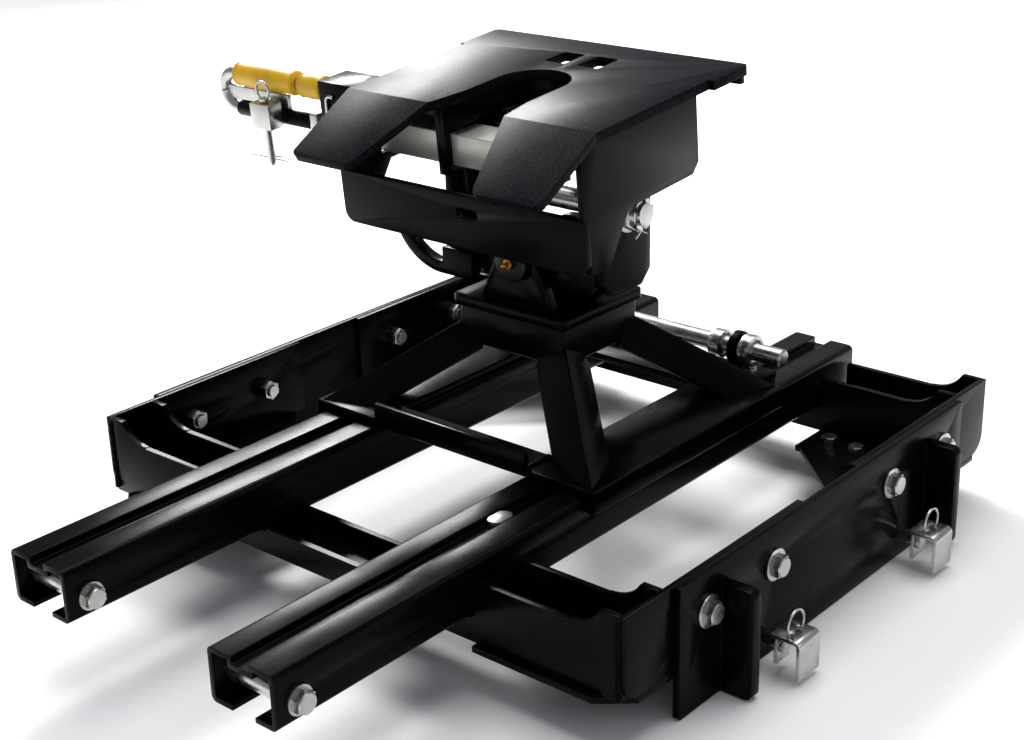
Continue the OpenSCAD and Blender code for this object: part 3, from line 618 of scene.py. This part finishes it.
def bolt_tree():
    """Hex bolt with a chamfered head, a washer and a ridged shank, on each point, along the
    point's axis attribute."""
    if "hex_bolt" in bpy.data.node_groups:
        return bpy.data.node_groups["hex_bolt"]
    tree, start = new_tree("hex_bolt", {
        "Corner radius": ("Float", 0.011), "Head": ("Float", 0.008), "Shank": ("Float", 0.006),
        "Reach": ("Float", 0.03), "Washer": ("Float", 0.0), "Washer thickness": ("Float", 0.002),
        "Pitch": ("Float", 0.002), "Seed": ("Int", 3), "Material": ("Material", None),
    })

    def scaled(socket, factor):
        return add(
            tree, "ShaderNodeMath", {0: (start, socket)}, operation="MULTIPLY", values={1: factor}
        )

    def lifted(part, output, height):
        offset = add(tree, "ShaderNodeCombineXYZ", {"Z": (height, 0)})
        return add(
            tree, "GeometryNodeTransform", {"Geometry": (part, output), "Translation": (offset, 0)}
        )

    block = add(
        tree, "GeometryNodeMeshCylinder",
        {"Radius": (start, "Corner radius"), "Depth": (scaled("Head", 0.84), 0)},
        values={"Vertices": 6},
    )
    crown = add(
        tree, "GeometryNodeMeshCone",
        {"Radius Top": (scaled("Corner radius", 0.78), 0),
         "Radius Bottom": (scaled("Corner radius", 0.865), 0), "Depth": (scaled("Head", 0.16), 0)},
        values={"Vertices": 30},
    )
    washer = add(
        tree, "GeometryNodeMeshCylinder",
        {"Radius": (start, "Washer"), "Depth": (start, "Washer thickness")},
        values={"Vertices": 36},
    )
    reach = scaled("Reach", -1.0)
    end = add(tree, "ShaderNodeCombineXYZ", {"Z": (reach, 0)})
    line = add(tree, "GeometryNodeCurvePrimitiveLine", {"End": (end, 0)})
    ridge = scaled("Pitch", 0.5)
    stepped = add(
        tree, "GeometryNodeResampleCurve", {"Curve": (line, "Curve"), "Length": (ridge, 0)},
        mode="LENGTH",
    )
    index = add(tree, "GeometryNodeInputIndex")
    parity = add(
        tree, "ShaderNodeMath", {0: (index, "Index")}, operation="MODULO", values={1: 2.0}
    )
    swell = add(
        tree, "ShaderNodeMath", {0: (parity, 0)}, operation="MULTIPLY_ADD",
        values={1: 0.12, 2: 0.88},
    )
    ring = add(
        tree, "GeometryNodeCurvePrimitiveCircle", {"Radius": (start, "Shank")},
        values={"Resolution": 20},
    )
    shank = add(
        tree, "GeometryNodeCurveToMesh",
        {"Curve": (stepped, "Curve"), "Profile Curve": (ring, "Curve"), "Scale": (swell, 0)},
        values={"Fill Caps": True},
    )
    bolt = add(tree, "GeometryNodeJoinGeometry")
    for part, output in (
        (lifted(block, "Mesh", scaled("Head", 0.42)), "Geometry"),
        (lifted(crown, "Mesh", scaled("Head", 0.92)), "Geometry"),
        (lifted(washer, "Mesh", scaled("Washer thickness", -0.5)), "Geometry"),
        (shank, "Mesh"),
    ):
        tree.links.new(part.outputs[output], bolt.inputs[0])
    axis = add(
        tree, "GeometryNodeInputNamedAttribute", data_type="FLOAT_VECTOR",
        values={"Name": "axis"},
    )
    aimed = add(
        tree, "FunctionNodeAlignRotationToVector", {"Vector": (axis, "Attribute")}, axis="Z"
    )
    spin = add(
        tree, "FunctionNodeRandomValue", {"Seed": (start, "Seed")}, data_type="FLOAT_VECTOR",
        values={0: (0.0, 0.0, 0.0), 1: (0.0, 0.0, 1.05)},
    )
    twist = add(tree, "FunctionNodeEulerToRotation", {0: (spin, 0)})
    turned = add(
        tree, "FunctionNodeRotateRotation", {0: (aimed, "Rotation"), 1: (twist, 0)},
        rotation_space="LOCAL",
    )
    bolts = add(
        tree, "GeometryNodeInstanceOnPoints",
        {"Points": (start, "Geometry"), "Instance": (bolt, 0), "Rotation": (turned, 0)},
    )
    finish_tree(tree, bolts, "Instances", start)
    return tree


def rail_tree():
    """Formed rail: a closed outline with its bends rounded, filled and drawn out to a length."""
    if "formed_rail" in bpy.data.node_groups:
        return bpy.data.node_groups["formed_rail"]
    tree, start = new_tree("formed_rail", {
        "Length": ("Float", 0.85), "Material": ("Material", None),
    })
    outline = add(tree, "GeometryNodeMeshToCurve", {"Mesh": (start, "Geometry")})
    bend = add(
        tree, "GeometryNodeInputNamedAttribute", data_type="FLOAT", values={"Name": "bend"}
    )
    rounded = add(
        tree, "GeometryNodeFilletCurve",
        {"Curve": (outline, "Curve"), "Radius": (bend, "Attribute")},
        mode="POLY", values={"Limit Radius": True, "Count": 6},
    )
    face = add(
        tree, "GeometryNodeFillCurve", {"Curve": (rounded, "Curve")}, mode="NGONS"
    )
    drawn = add(
        tree, "GeometryNodeExtrudeMesh",
        {"Mesh": (face, "Mesh"), "Offset Scale": (start, "Length")},
        mode="FACES", values={"Individual": False},
    )
    back = add(tree, "GeometryNodeFlipFaces", {"Mesh": (face, "Mesh")})
    whole = add(tree, "GeometryNodeJoinGeometry")
    tree.links.new(drawn.outputs["Mesh"], whole.inputs[0])
    tree.links.new(back.outputs["Mesh"], whole.inputs[0])
    merged = add(
        tree, "GeometryNodeMergeByDistance", {"Geometry": (whole, 0)},
        values={"Distance": 0.00001},
    )
    finish_tree(tree, merged, "Geometry", start)
    return tree


# ---- pieces ---------------------------------------------------------------


class HITCH_OT_stage(bpy.types.Operator):
    """Makes the pale floor, the soft lights and the camera"""

    bl_idname = "hitch.stage"
    bl_label = "Floor, Lights and Camera"

    def execute(self, context):
        stage = context.scene.hitch_stage
        self.floor(context, stage)
        self.lights(context, stage)
        self.camera(context, stage)
        return {"FINISHED"}

    def floor(self, context, stage):
        """A wide sheet of matt paper just under the hitch."""
        bm = bmesh.new()
        bmesh.ops.create_grid(bm, x_segments=1, y_segments=1, size=30.0)
        mesh = bpy.data.meshes.new("floor")
        bm.to_mesh(mesh)
        bm.free()
        floor = bpy.data.objects.new("floor", mesh)
        context.scene.collection.objects.link(floor)
        floor.location.z = CAD_BOX[0].z - 0.5 * MM
        paper, _, shader, _ = new_material("studio_paper")
        shader.inputs["Base Color"].default_value = linear(stage.floor)
        shader.inputs["Roughness"].default_value = 0.9
        mesh.materials.append(paper)

    def lights(self, context, stage):
        """An even sky, a broad light from above and three panels."""
        world = bpy.data.worlds.new("studio")
        world.use_nodes = True
        context.scene.world = world
        context.scene.view_settings.view_transform = "Standard"
        sky = world.node_tree.nodes["Background"]
        sky.inputs["Color"].default_value = linear(SKY_TINT)
        sky.inputs["Strength"].default_value = stage.sky

        target = Vector((0.0, 0.0, 0.15))
        sun = bpy.data.lights.new("overhead", "SUN")
        sun.energy = stage.overhead
        sun.angle = math.radians(50)
        lamps = [(sun, (-0.5, 1.0, 4.0))]
        # Each panel's name, place, width, height and power.
        for name, place, wide, tall, power in (
            ("window", (-1.9, 1.2, 1.7), 0.9, 0.45, 1.5 * stage.window),
            ("low_panel", (-2.2, 1.94, 1.45), 0.5, 0.35, 0.36 * stage.window),
            ("strip", (2.6, 1.2, 1.6), 0.4, 1.4, 0.07 * stage.window),
        ):
            panel = bpy.data.lights.new(name, "AREA")
            panel.shape = "RECTANGLE"
            panel.size, panel.size_y = wide, tall
            panel.energy = power
            lamps.append((panel, place))
        for lamp, place in lamps:
            holder = bpy.data.objects.new(lamp.name, lamp)
            context.scene.collection.objects.link(holder)
            holder.location = place
            holder.rotation_mode = "QUATERNION"
            holder.rotation_quaternion = (target - Vector(place)).to_track_quat("-Z", "Y")

    def camera(self, context, stage):
        """A camera turned round the hitch, raised and leaned by the stage's angles."""
        around, rise, lean = stage.azimuth, stage.elevation, stage.roll
        flat = math.cos(rise)
        back = Vector((math.sin(around) * flat, -math.cos(around) * flat, math.sin(rise)))
        level = Vector((math.cos(around), math.sin(around), 0.0))
        upright = back.cross(level)
        right = level * math.cos(lean) + upright * math.sin(lean)
        up = upright * math.cos(lean) - level * math.sin(lean)
        data = bpy.data.cameras.new("camera")
        data.lens = stage.lens
        data.sensor_width = 36.0
        camera = bpy.data.objects.new("camera", data)
        context.scene.collection.objects.link(camera)
        turn = Matrix((right, up, back)).transposed()
        camera.matrix_world = Matrix.Translation(Vector(stage.position)) @ turn.to_4x4()
        context.scene.camera = camera


class HITCH_OT_rails(bpy.types.Operator):
    """Draws the two formed slide rails out of their rounded outline and pierces them"""

    bl_idname = "hitch.rails"
    bl_label = "Slide Rails"

    def execute(self, context):
        travel = next(j for j in frame["joints"] if j["name"] == "carriage_slide")["range_m"][1]
        joined = bmesh.new()
        for (low, high), side, end_bolt in zip(
            islands("slide_rails"), ("left", "right"), islands("rail_end_bolts")
        ):
            pin_low, pin_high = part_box(f"lock_pin_{side}")
            pin_y = ((pin_low + pin_high) / 2).y
            tool = self.cutter(context, low, high, (pin_y, pin_y - travel), end_bolt)
            joined.from_mesh(self.pierced(context, self.drawn(low, high), tool))
        bmesh.ops.recalc_face_normals(joined, faces=joined.faces)
        name = "slide_rails_finished"
        mesh = smooth_mesh(joined, name)
        mesh_piece(name, mesh, "base_frame", "black_powder_coat", "slide_rails")
        return {"FINISHED"}

    def drawn(self, low, high):
        """One whole rail: a sheet folded into a box, with a groove along its top and a gap
        along its foot. The outline's third numbers are the radii of its bends."""
        half, tall, sheet = (high.x - low.x) / 2, high.z - low.z, RAIL_SHEET
        groove, gap = 19 * MM / 2, 26 * MM / 2
        outer, inner, lip, foot = 6 * MM, 2.2 * MM, 1.5 * MM, 1 * MM
        floor, under, shelf = tall - GROOVE_DEPTH, tall - GROOVE_DEPTH - sheet, tall - sheet
        outline = [
            (-gap, 0, foot), (-half, 0, outer), (-half, tall, outer), (-groove, tall, lip),
            (-groove, floor, lip), (groove, floor, lip), (groove, tall, lip),
            (half, tall, outer), (half, 0, outer), (gap, 0, foot), (gap, sheet, foot),
            (half - sheet, sheet, inner), (half - sheet, shelf, inner),
            (groove + sheet, shelf, inner), (groove + sheet, under, lip),
            (-groove - sheet, under, lip), (-groove - sheet, shelf, inner),
            (-half + sheet, shelf, inner), (-half + sheet, sheet, inner), (-gap, sheet, foot),
        ]
        mesh = polyline([[(x, z, 0) for x, z, _ in outline]], closed=True)
        bend = mesh.attributes.new("bend", "FLOAT", "POINT")
        bend.data.foreach_set("value", [r for _, _, r in outline])
        rail = run_tree(
            rail_tree(), mesh, {"Length": high.y - low.y}, "rail", "base_frame", "black_powder_coat"
        )
        rail.data.transform(
            Matrix.Translation(((low.x + high.x) / 2, high.y, low.z))
            @ Matrix.Rotation(math.pi / 2, 4, "X")
        )
        return rail

    def cutter(self, context, low, high, slots_y, end_bolt):
        """Blocks for the lock slots in the groove's floor and a rod for the end bolt's hole."""
        centre = (low.x + high.x) / 2
        bm = bmesh.new()
        for y in slots_y:
            slot = Matrix.Translation((centre, y, high.z - GROOVE_DEPTH - RAIL_SHEET / 2))
            size = Matrix.Diagonal((*LOCK_SLOT, 2 * RAIL_SHEET, 1))
            bmesh.ops.create_cube(bm, size=1.0, matrix=slot @ size)
        bolt = (end_bolt[0] + end_bolt[1]) / 2
        bmesh.ops.create_cone(
            bm, cap_ends=True, segments=32, radius1=BOLT_HOLE, radius2=BOLT_HOLE,
            depth=2 * (high.x - low.x),
            matrix=Matrix.Translation((centre, bolt.y, bolt.z))
            @ Matrix.Rotation(math.pi / 2, 4, "Y"),
        )
        mesh = bpy.data.meshes.new("cutter")
        bm.to_mesh(mesh)
        bm.free()
        tool = bpy.data.objects.new("cutter", mesh)
        context.scene.collection.objects.link(tool)
        return tool

    def pierced(self, context, rail, tool):
        """The rail's mesh with the tool cut out of it and its sharp edges softened."""
        pierce = rail.modifiers.new("pierce", "BOOLEAN")
        pierce.object = tool
        pierce.operation = "DIFFERENCE"
        pierce.solver = "EXACT"
        soften = rail.modifiers.new("soften", "BEVEL")
        soften.width = 0.5 * MM
        soften.segments = 2
        soften.limit_method = "ANGLE"
        soften.angle_limit = math.radians(50)
        depsgraph = context.evaluated_depsgraph_get()
        mesh = bpy.data.meshes.new_from_object(rail.evaluated_get(depsgraph))
        bpy.data.objects.remove(tool)
        bpy.data.objects.remove(rail)
        return mesh


class HITCH_OT_painted(bpy.types.Operator):
    """Softens the edges of the painted plates and sections and gives them their coat"""

    bl_idname = "hitch.painted"
    bl_label = "Painted Steel"

    def execute(self, context):
        edge = context.scene.hitch_finish.edge
        shares = {
            "cross_channels": 1.6, "arm_end_plates": 1.0, "gusset_plates": 0.8,
            "side_plates": 1.0, "foot_lugs": 1.4, "side_members": 1.4, "crossbars": 1.2,
            "carriage_legs": 1.2, "pedestal_box": 1.6, "pedestal_cap": 1.2, "roll_ears": 1.2,
            "shaft_brackets": 1.0, "yoke_saddle": 2.2, "yoke_ears": 1.4, "yoke_strap": 2.0,
            "side_walls": 1.0, "throat_collar": 0.8, "kingpin_seat": 1.2, "pivot_tabs": 1.0,
            "bar_guides": 0.9, "rear_cross_plate": 1.0, "wing_bracket": 0.9,
            "handle_sleeve": 0.8,
        }
        for node, share in shares.items():
            softened(node, share * edge)
        for node in ("top_plate", "entry_ramps"):
            softened(node, 1.1 * edge, finish="textured_plate_coat", segments=3)
        return {"FINISHED"}


class HITCH_OT_plated(bpy.types.Operator):
    """Softens the turned and sheared zinc parts and plates them"""

    bl_idname = "hitch.plated"
    bl_label = "Plated Parts"

    def execute(self, context):
        edge = context.scene.hitch_finish.edge
        shares = {
            "travel_stop": 0.5, "rail_end_sleeves": 0.5, "hex_nuts": 0.6, "gusset_nuts": 0.5,
            "side_plate_washers": 0.3, "rock_shaft": 0.5, "shaft_collars": 0.9,
            "lock_pin_left": 0.5, "lock_pin_right": 0.5,
            "pitch_pin": 0.8, "pitch_washers": 0.5, "castle_nut": 0.5, "handle_link": 1.6,
            "pin_keeper": 1.2, "safety_pin": 0.4,
        }
        for node, share in shares.items():
            softened(node, share * edge)
        for corner in ("rear_left", "rear_right", "front_left", "front_right"):
            softened(f"pull_pin_{corner}", 0.5 * edge)
            softened(f"pin_handle_{corner}", 0.4 * edge)
        softened("lock_bar", 1.2 * edge, finish="dull_zinc_bar")
        softened("roll_pin", 1.2 * edge, finish="greased_steel")
        softened("roll_pin_nut", 0.7 * edge, finish="greased_steel")
        softened("grease_fitting", 0.25 * edge)
        return {"FINISHED"}


class HITCH_OT_bolts(bpy.types.Operator):
    """Sets chamfered hex bolts, with washers and threads, where the frame's bolts are"""

    bl_idname = "hitch.bolts"
    bl_label = "Hex Bolts"

    def execute(self, context):
        hardware = context.scene.hitch_hardware
        # Node, axis, size across the flats, head's height, shank, washer, seed of the turn.
        sets = (
            ("side_plate_bolts", 0, hardware.frame_flats, 8 * MM, 12.7 * MM, 0.0, 11),
            ("rail_end_bolts", 0, hardware.frame_flats, 8 * MM, 12.7 * MM, 26 * MM, 5),
            ("gusset_bolts", 2, hardware.gusset_flats, 6.5 * MM, 10 * MM, 0.0, 23),
        )
        for node, along, flats, head, shank, washer, seed in sets:
            seats, axes, reach = [], [], 0.0
            for low, high in islands(node):
                middle = (low + high) / 2
                outward = -1.0 if node == "side_plate_bolts" and middle.x < 0 else 1.0
                axis = Vector((0, 0, 0))
                axis[along] = outward
                seat = middle.copy()
                end = high[along] if outward > 0 else low[along]
                seat[along] = end - outward * head
                reach = (high - low)[along] - head
                seats.append(seat)
                axes.append(axis)
            points = bpy.data.meshes.new("seats")
            points.from_pydata(seats, [], [])
            aim = points.attributes.new("axis", "FLOAT_VECTOR", "POINT")
            aim.data.foreach_set("vector", [c for a in axes for c in a])
            run_tree(
                bolt_tree(), points,
                {"Corner radius": flats / math.sqrt(3), "Head": head, "Shank": shank / 2,
                 "Reach": reach, "Washer": max(washer / 2, 0.4 * shank),
                 "Washer thickness": 2 * MM, "Pitch": hardware.thread_pitch, "Seed": seed},
                f"{node}_finished", BODY_OF[node], SLOT_OF[node], node,
            )
        return {"FINISHED"}


class HITCH_OT_welds(bpy.types.Operator):
    """Runs weld beads along the joints of the frame, the carriage and the yoke"""

    bl_idname = "hitch.welds"
    bl_label = "Weld Beads"

    inset = 4 * MM

    def execute(self, context):
        welds = context.scene.hitch_welds
        for name, body, lines in (
            ("frame_welds", "base_frame", self.frame_lines()),
            ("carriage_welds", "carriage", self.carriage_lines()),
            ("yoke_welds", "yoke", self.yoke_lines()),
        ):
            piece = run_tree(
                bead_tree(), polyline(lines),
                {"Width": welds.width, "Ripple": welds.ripple, "Seed": welds.seed},
                name, body, "black_powder_coat",
            )
        return {"FINISHED"}

    def frame_lines(self):
        """Upright beads at the foot lugs and end plates, and level ones under the rails."""
        arm_width, proud = 59 * MM, 0.5 * MM
        lines = []
        for low, high in islands("foot_lugs"):
            face = low.x if low.x > 0 else high.x
            for y in (low.y, high.y):
                lines.append([(face, y, low.z + self.inset), (face, y, high.z - self.inset)])
        arms_low, arms_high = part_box("cross_channels")
        bottom, top = arms_low.z + self.inset, arms_high.z - self.inset
        for low, high in islands("arm_end_plates"):
            face = low.x if low.x > 0 else high.x
            if low.y + high.y > arms_low.y + arms_high.y:
                pair = (arms_high.y, arms_high.y - arm_width)
            else:
                pair = (arms_low.y, arms_low.y + arm_width)
            lines += [[(face, y, bottom), (face, y, top)] for y in pair]
        for low, high in islands("slide_rails"):
            for y in (arms_low.y - proud, arms_high.y + proud):
                lines.append([(low.x + self.inset, y, low.z), (high.x - self.inset, y, low.z)])
        return lines

    def carriage_lines(self):
        """Beads beside the roll ears, round the pedestal under its cap and at the crossbars."""
        lines = []
        cap_low, cap_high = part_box("pedestal_cap")
        for low, high in islands("roll_ears"):
            for y in (low.y, high.y):
                lines.append(
                    [(low.x + self.inset, y, cap_high.z), (high.x - self.inset, y, cap_high.z)]
                )
        low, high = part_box("pedestal_box")
        corners = [(low.x, low.y), (high.x, low.y), (high.x, high.y), (low.x, high.y)]
        lines.append([(x, y, cap_low.z) for x, y in corners + corners[:1]])
        for low, high in islands("side_members"):
            inner = high.x if high.x < 0 else low.x
            for bar_low, bar_high in islands("crossbars"):
                lines.append([
                    (inner, bar_low.y + self.inset, high.z), (inner, bar_high.y - self.inset, high.z)
                ])
        return lines

    def yoke_lines(self):
        """Beads along the top and down the corners of the yoke's saddle."""
        lines = []
        low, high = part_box("yoke_saddle")
        for x in (low.x, high.x):
            lines.append([(x, low.y + self.inset, high.z), (x, high.y - self.inset, high.z)])
            for y in (low.y, high.y):
                lines.append([(x, y, low.z + 3 * self.inset), (x, y, high.z - self.inset)])
        return lines


class HITCH_OT_handle(bpy.types.Operator):
    """Bends the handle's rod, its flat strap, the grips, and the wires on the handle side"""

    bl_idname = "hitch.handle"
    bl_label = "Handle"

    def execute(self, context):
        rod = context.scene.hitch_hardware.rod / 2
        low, high = in_head("handle_loop")
        across = (low.y + high.y) / 2
        top, bottom, turn = high.z - rod, low.z + rod, low.x + rod
        link_x = in_head("handle_link")[0].x
        path = [(high.x, top), (turn, top), (turn, bottom), (link_x, bottom)]
        run_tree(
            rod_tree(), polyline([[(x, across, z) for x, z in path]], place=HEAD_FRAME),
            {"Radius": rod, "Bend": (top - bottom) / 2, "Sides": 28},
            "handle_loop_finished", "lock_bar", "zinc_plate", "handle_loop",
        )
        self.strap(turn, across, (top + bottom) / 2)
        self.grips(across, top, rod)
        self.clip()
        self.latch_wire()
        return {"FINISHED"}

    def strap(self, turn, across, middle):
        """The flat bar between the two runs of the handle's rod."""
        thick, wide, drop = 5 * MM, 15 * MM, 2.4 * MM
        bm = bmesh.new()
        bmesh.ops.create_cube(
            bm, size=1.0,
            matrix=Matrix.Translation(((turn + STRAP_END) / 2, across, middle - drop))
            @ Matrix.Diagonal((abs(turn - STRAP_END), thick, wide, 1)),
        )
        bmesh.ops.bevel(
            bm, geom=bm.edges[:], offset=1.1 * MM, offset_type="OFFSET", segments=3,
            profile=0.5, affect="EDGES", clamp_overlap=True,
        )
        bmesh.ops.transform(bm, matrix=HEAD_FRAME, verts=bm.verts)
        mesh = smooth_mesh(bm, "handle_strap")
        mesh_piece("handle_strap", mesh, "lock_bar", "zinc_plate", "handle_loop")

    def clip(self):
        """The wire clip that springs round the safety pin."""
        pin_low, pin_high = in_head("safety_pin")
        low, high = in_head("safety_clip")
        x, y = (pin_low.x + pin_high.x) / 2, (pin_low.y + pin_high.y) / 2
        z = (low.z + high.z) / 2
        wire, bow = 1.2 * MM, y + 7 * MM
        path = [
            (high.x - wire, y, z), (low.x + wire, y, z), (low.x + wire, bow, z - 2 * MM),
            (x - 8 * MM, bow, z - 1 * MM), (x - 2 * MM, y + 5.2 * MM, z),
            (x + 8 * MM, y + 7.5 * MM, z + 1 * MM),
        ]
        run_tree(
            rod_tree(), polyline([path], place=HEAD_FRAME),
            {"Radius": wire, "Bend": 3 * MM, "Sides": 12},
            "safety_clip_finished", "safety_pin", "zinc_plate", "safety_clip",
        )

    def latch_wire(self):
        """The bent wire on the front of the wing bracket."""
        low, high = in_head("wing_bracket")
        y = low.y - 1.9 * MM
        path = [
            (low.x + 22 * MM, y, high.z - 14 * MM), (low.x + 12 * MM, y, high.z - 12 * MM),
            (low.x + 11 * MM, y, high.z - 34 * MM), (low.x - 2 * MM, y, low.z + 6 * MM),
        ]
        piece = run_tree(
            rod_tree(), polyline([path], place=HEAD_FRAME),
            {"Radius": 1.8 * MM, "Bend": 6 * MM, "Sides": 14},
            "latch_wire", "head", "zinc_plate",
        )

    def grips(self, across, centre, rod):
        """Two dipped sleeves turned about the rod, thicker in the middle, with rolled ends."""
        low, high = in_head("handle_grips")
        radius = high.z - centre
        bore, lip, roll, crown = rod * 0.98, radius * 0.78, 4 * MM, 0.5 * MM
        sides, rounds, roll_steps = 40, 18, 6
        angles = [i / roll_steps * math.pi / 2 for i in range(1, roll_steps)]
        rolled = [(roll * (1 - math.cos(a)), radius - roll * (1 - math.sin(a))) for a in angles]
        bm = bmesh.new()
        for start, end in ((low.x, GRIP_GAP[0]), (GRIP_GAP[1], high.x)):
            profile = [(start, bore), (start, lip)] + [(start + x, r) for x, r in rolled]
            for i in range(rounds + 1):
                t = i / rounds
                x = start + roll + (end - start - 2 * roll) * t
                swell = crown * math.cos(math.pi * (2 * t - 1))
                profile.append((x, radius - crown + swell * 0.9))
            profile += [(end - x, r) for x, r in reversed(rolled)] + [(end, lip), (end, bore)]
            rings = []
            for x, r in profile:
                rings.append([
                    bm.verts.new((
                        x, across + r * math.cos(2 * math.pi * k / sides),
                        centre + r * math.sin(2 * math.pi * k / sides),
                    ))
                    for k in range(sides)
                ])
            for a, b in zip(rings, rings[1:] + rings[:1]):
                for k in range(sides):
                    bm.faces.new((a[k], a[(k + 1) % sides], b[(k + 1) % sides], b[k]))
        bmesh.ops.recalc_face_normals(bm, faces=bm.faces)
        bmesh.ops.transform(bm, matrix=HEAD_FRAME, verts=bm.verts)
        mesh = smooth_mesh(bm, "handle_grips_finished", angle=50)
        mesh_piece("handle_grips_finished", mesh, "lock_bar", "yellow_grip", "handle_grips")


class HITCH_OT_cotter(bpy.types.Operator):
    """Bends the split pin through the castle nut: an eye on top and two spread legs"""

    bl_idname = "hitch.cotter"
    bl_label = "Cotter Pin"

    def execute(self, context):
        low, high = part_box("cotter_pin")
        x, y = (low.x + high.x) / 2, (low.y + high.y) / 2
        wire, apart = 1.0 * MM, 1.1 * MM
        eye, leg = high.z - wire, low.z
        legs = [
            (x, y - 9 * MM, leg + 1 * MM), (x, y - apart, leg + 6 * MM),
            (x, y - apart, eye - 9 * MM), (x, y - 4 * MM, eye - 4 * MM), (x, y, eye),
            (x, y + 4 * MM, eye - 4 * MM), (x, y + apart, eye - 9 * MM),
            (x, y + apart, leg + 6 * MM), (x, y + 9 * MM, leg + 2 * MM),
        ]
        run_tree(
            rod_tree(), polyline([legs]), {"Radius": wire, "Bend": 2.5 * MM, "Sides": 10},
            "cotter_pin_finished", "yoke", "zinc_plate", "cotter_pin",
        )
        return {"FINISHED"}


class HITCH_PT_sidebar(bpy.types.Panel):
    """Lists the steps that finish the hitch"""

    bl_label = "Fifth Wheel Hitch"
    bl_idname = "HITCH_PT_sidebar"
    bl_space_type = "VIEW_3D"
    bl_region_type = "UI"
    bl_category = "Hitch"

    def draw(self, context):
        for settings in SETTINGS:
            group = getattr(context.scene, settings)
            box = self.layout.box()
            for key in group.bl_rna.properties.keys():
                if key not in ("rna_type", "name"):
                    box.prop(group, key)
        for step in STEPS:
            self.layout.operator(step.bl_idname)


STEPS = (
    HITCH_OT_stage, HITCH_OT_rails, HITCH_OT_painted, HITCH_OT_plated, HITCH_OT_bolts,
    HITCH_OT_welds, HITCH_OT_handle, HITCH_OT_cotter,
)


def register():
    for cls in (*SETTINGS.values(), *STEPS, HITCH_PT_sidebar):
        bpy.utils.register_class(cls)
    for name, cls in SETTINGS.items():
        setattr(bpy.types.Scene, name, PointerProperty(type=cls))


def unregister():
    for name in SETTINGS:
        delattr(bpy.types.Scene, name)
    for cls in reversed((*SETTINGS.values(), *STEPS, HITCH_PT_sidebar)):
        bpy.utils.unregister_class(cls)


def check_finishes():
    """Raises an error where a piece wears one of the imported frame's plain materials, or none."""
    for piece in bpy.context.scene.objects:
        if piece.type == "MESH" and piece.name not in NODES and piece.name != "floor":
            worn = [finish.name for finish in piece.data.materials]
            if not worn or not all(name.endswith("_finish") for name in worn):
                raise RuntimeError(f"{piece.name} wears {worn} and no finish of its own")


def main():
    register()
    for step in STEPS:
        group, name = step.bl_idname.split(".")
        getattr(getattr(bpy.ops, group), name)()
    check_finishes()


if __name__ == "__main__":
    main()
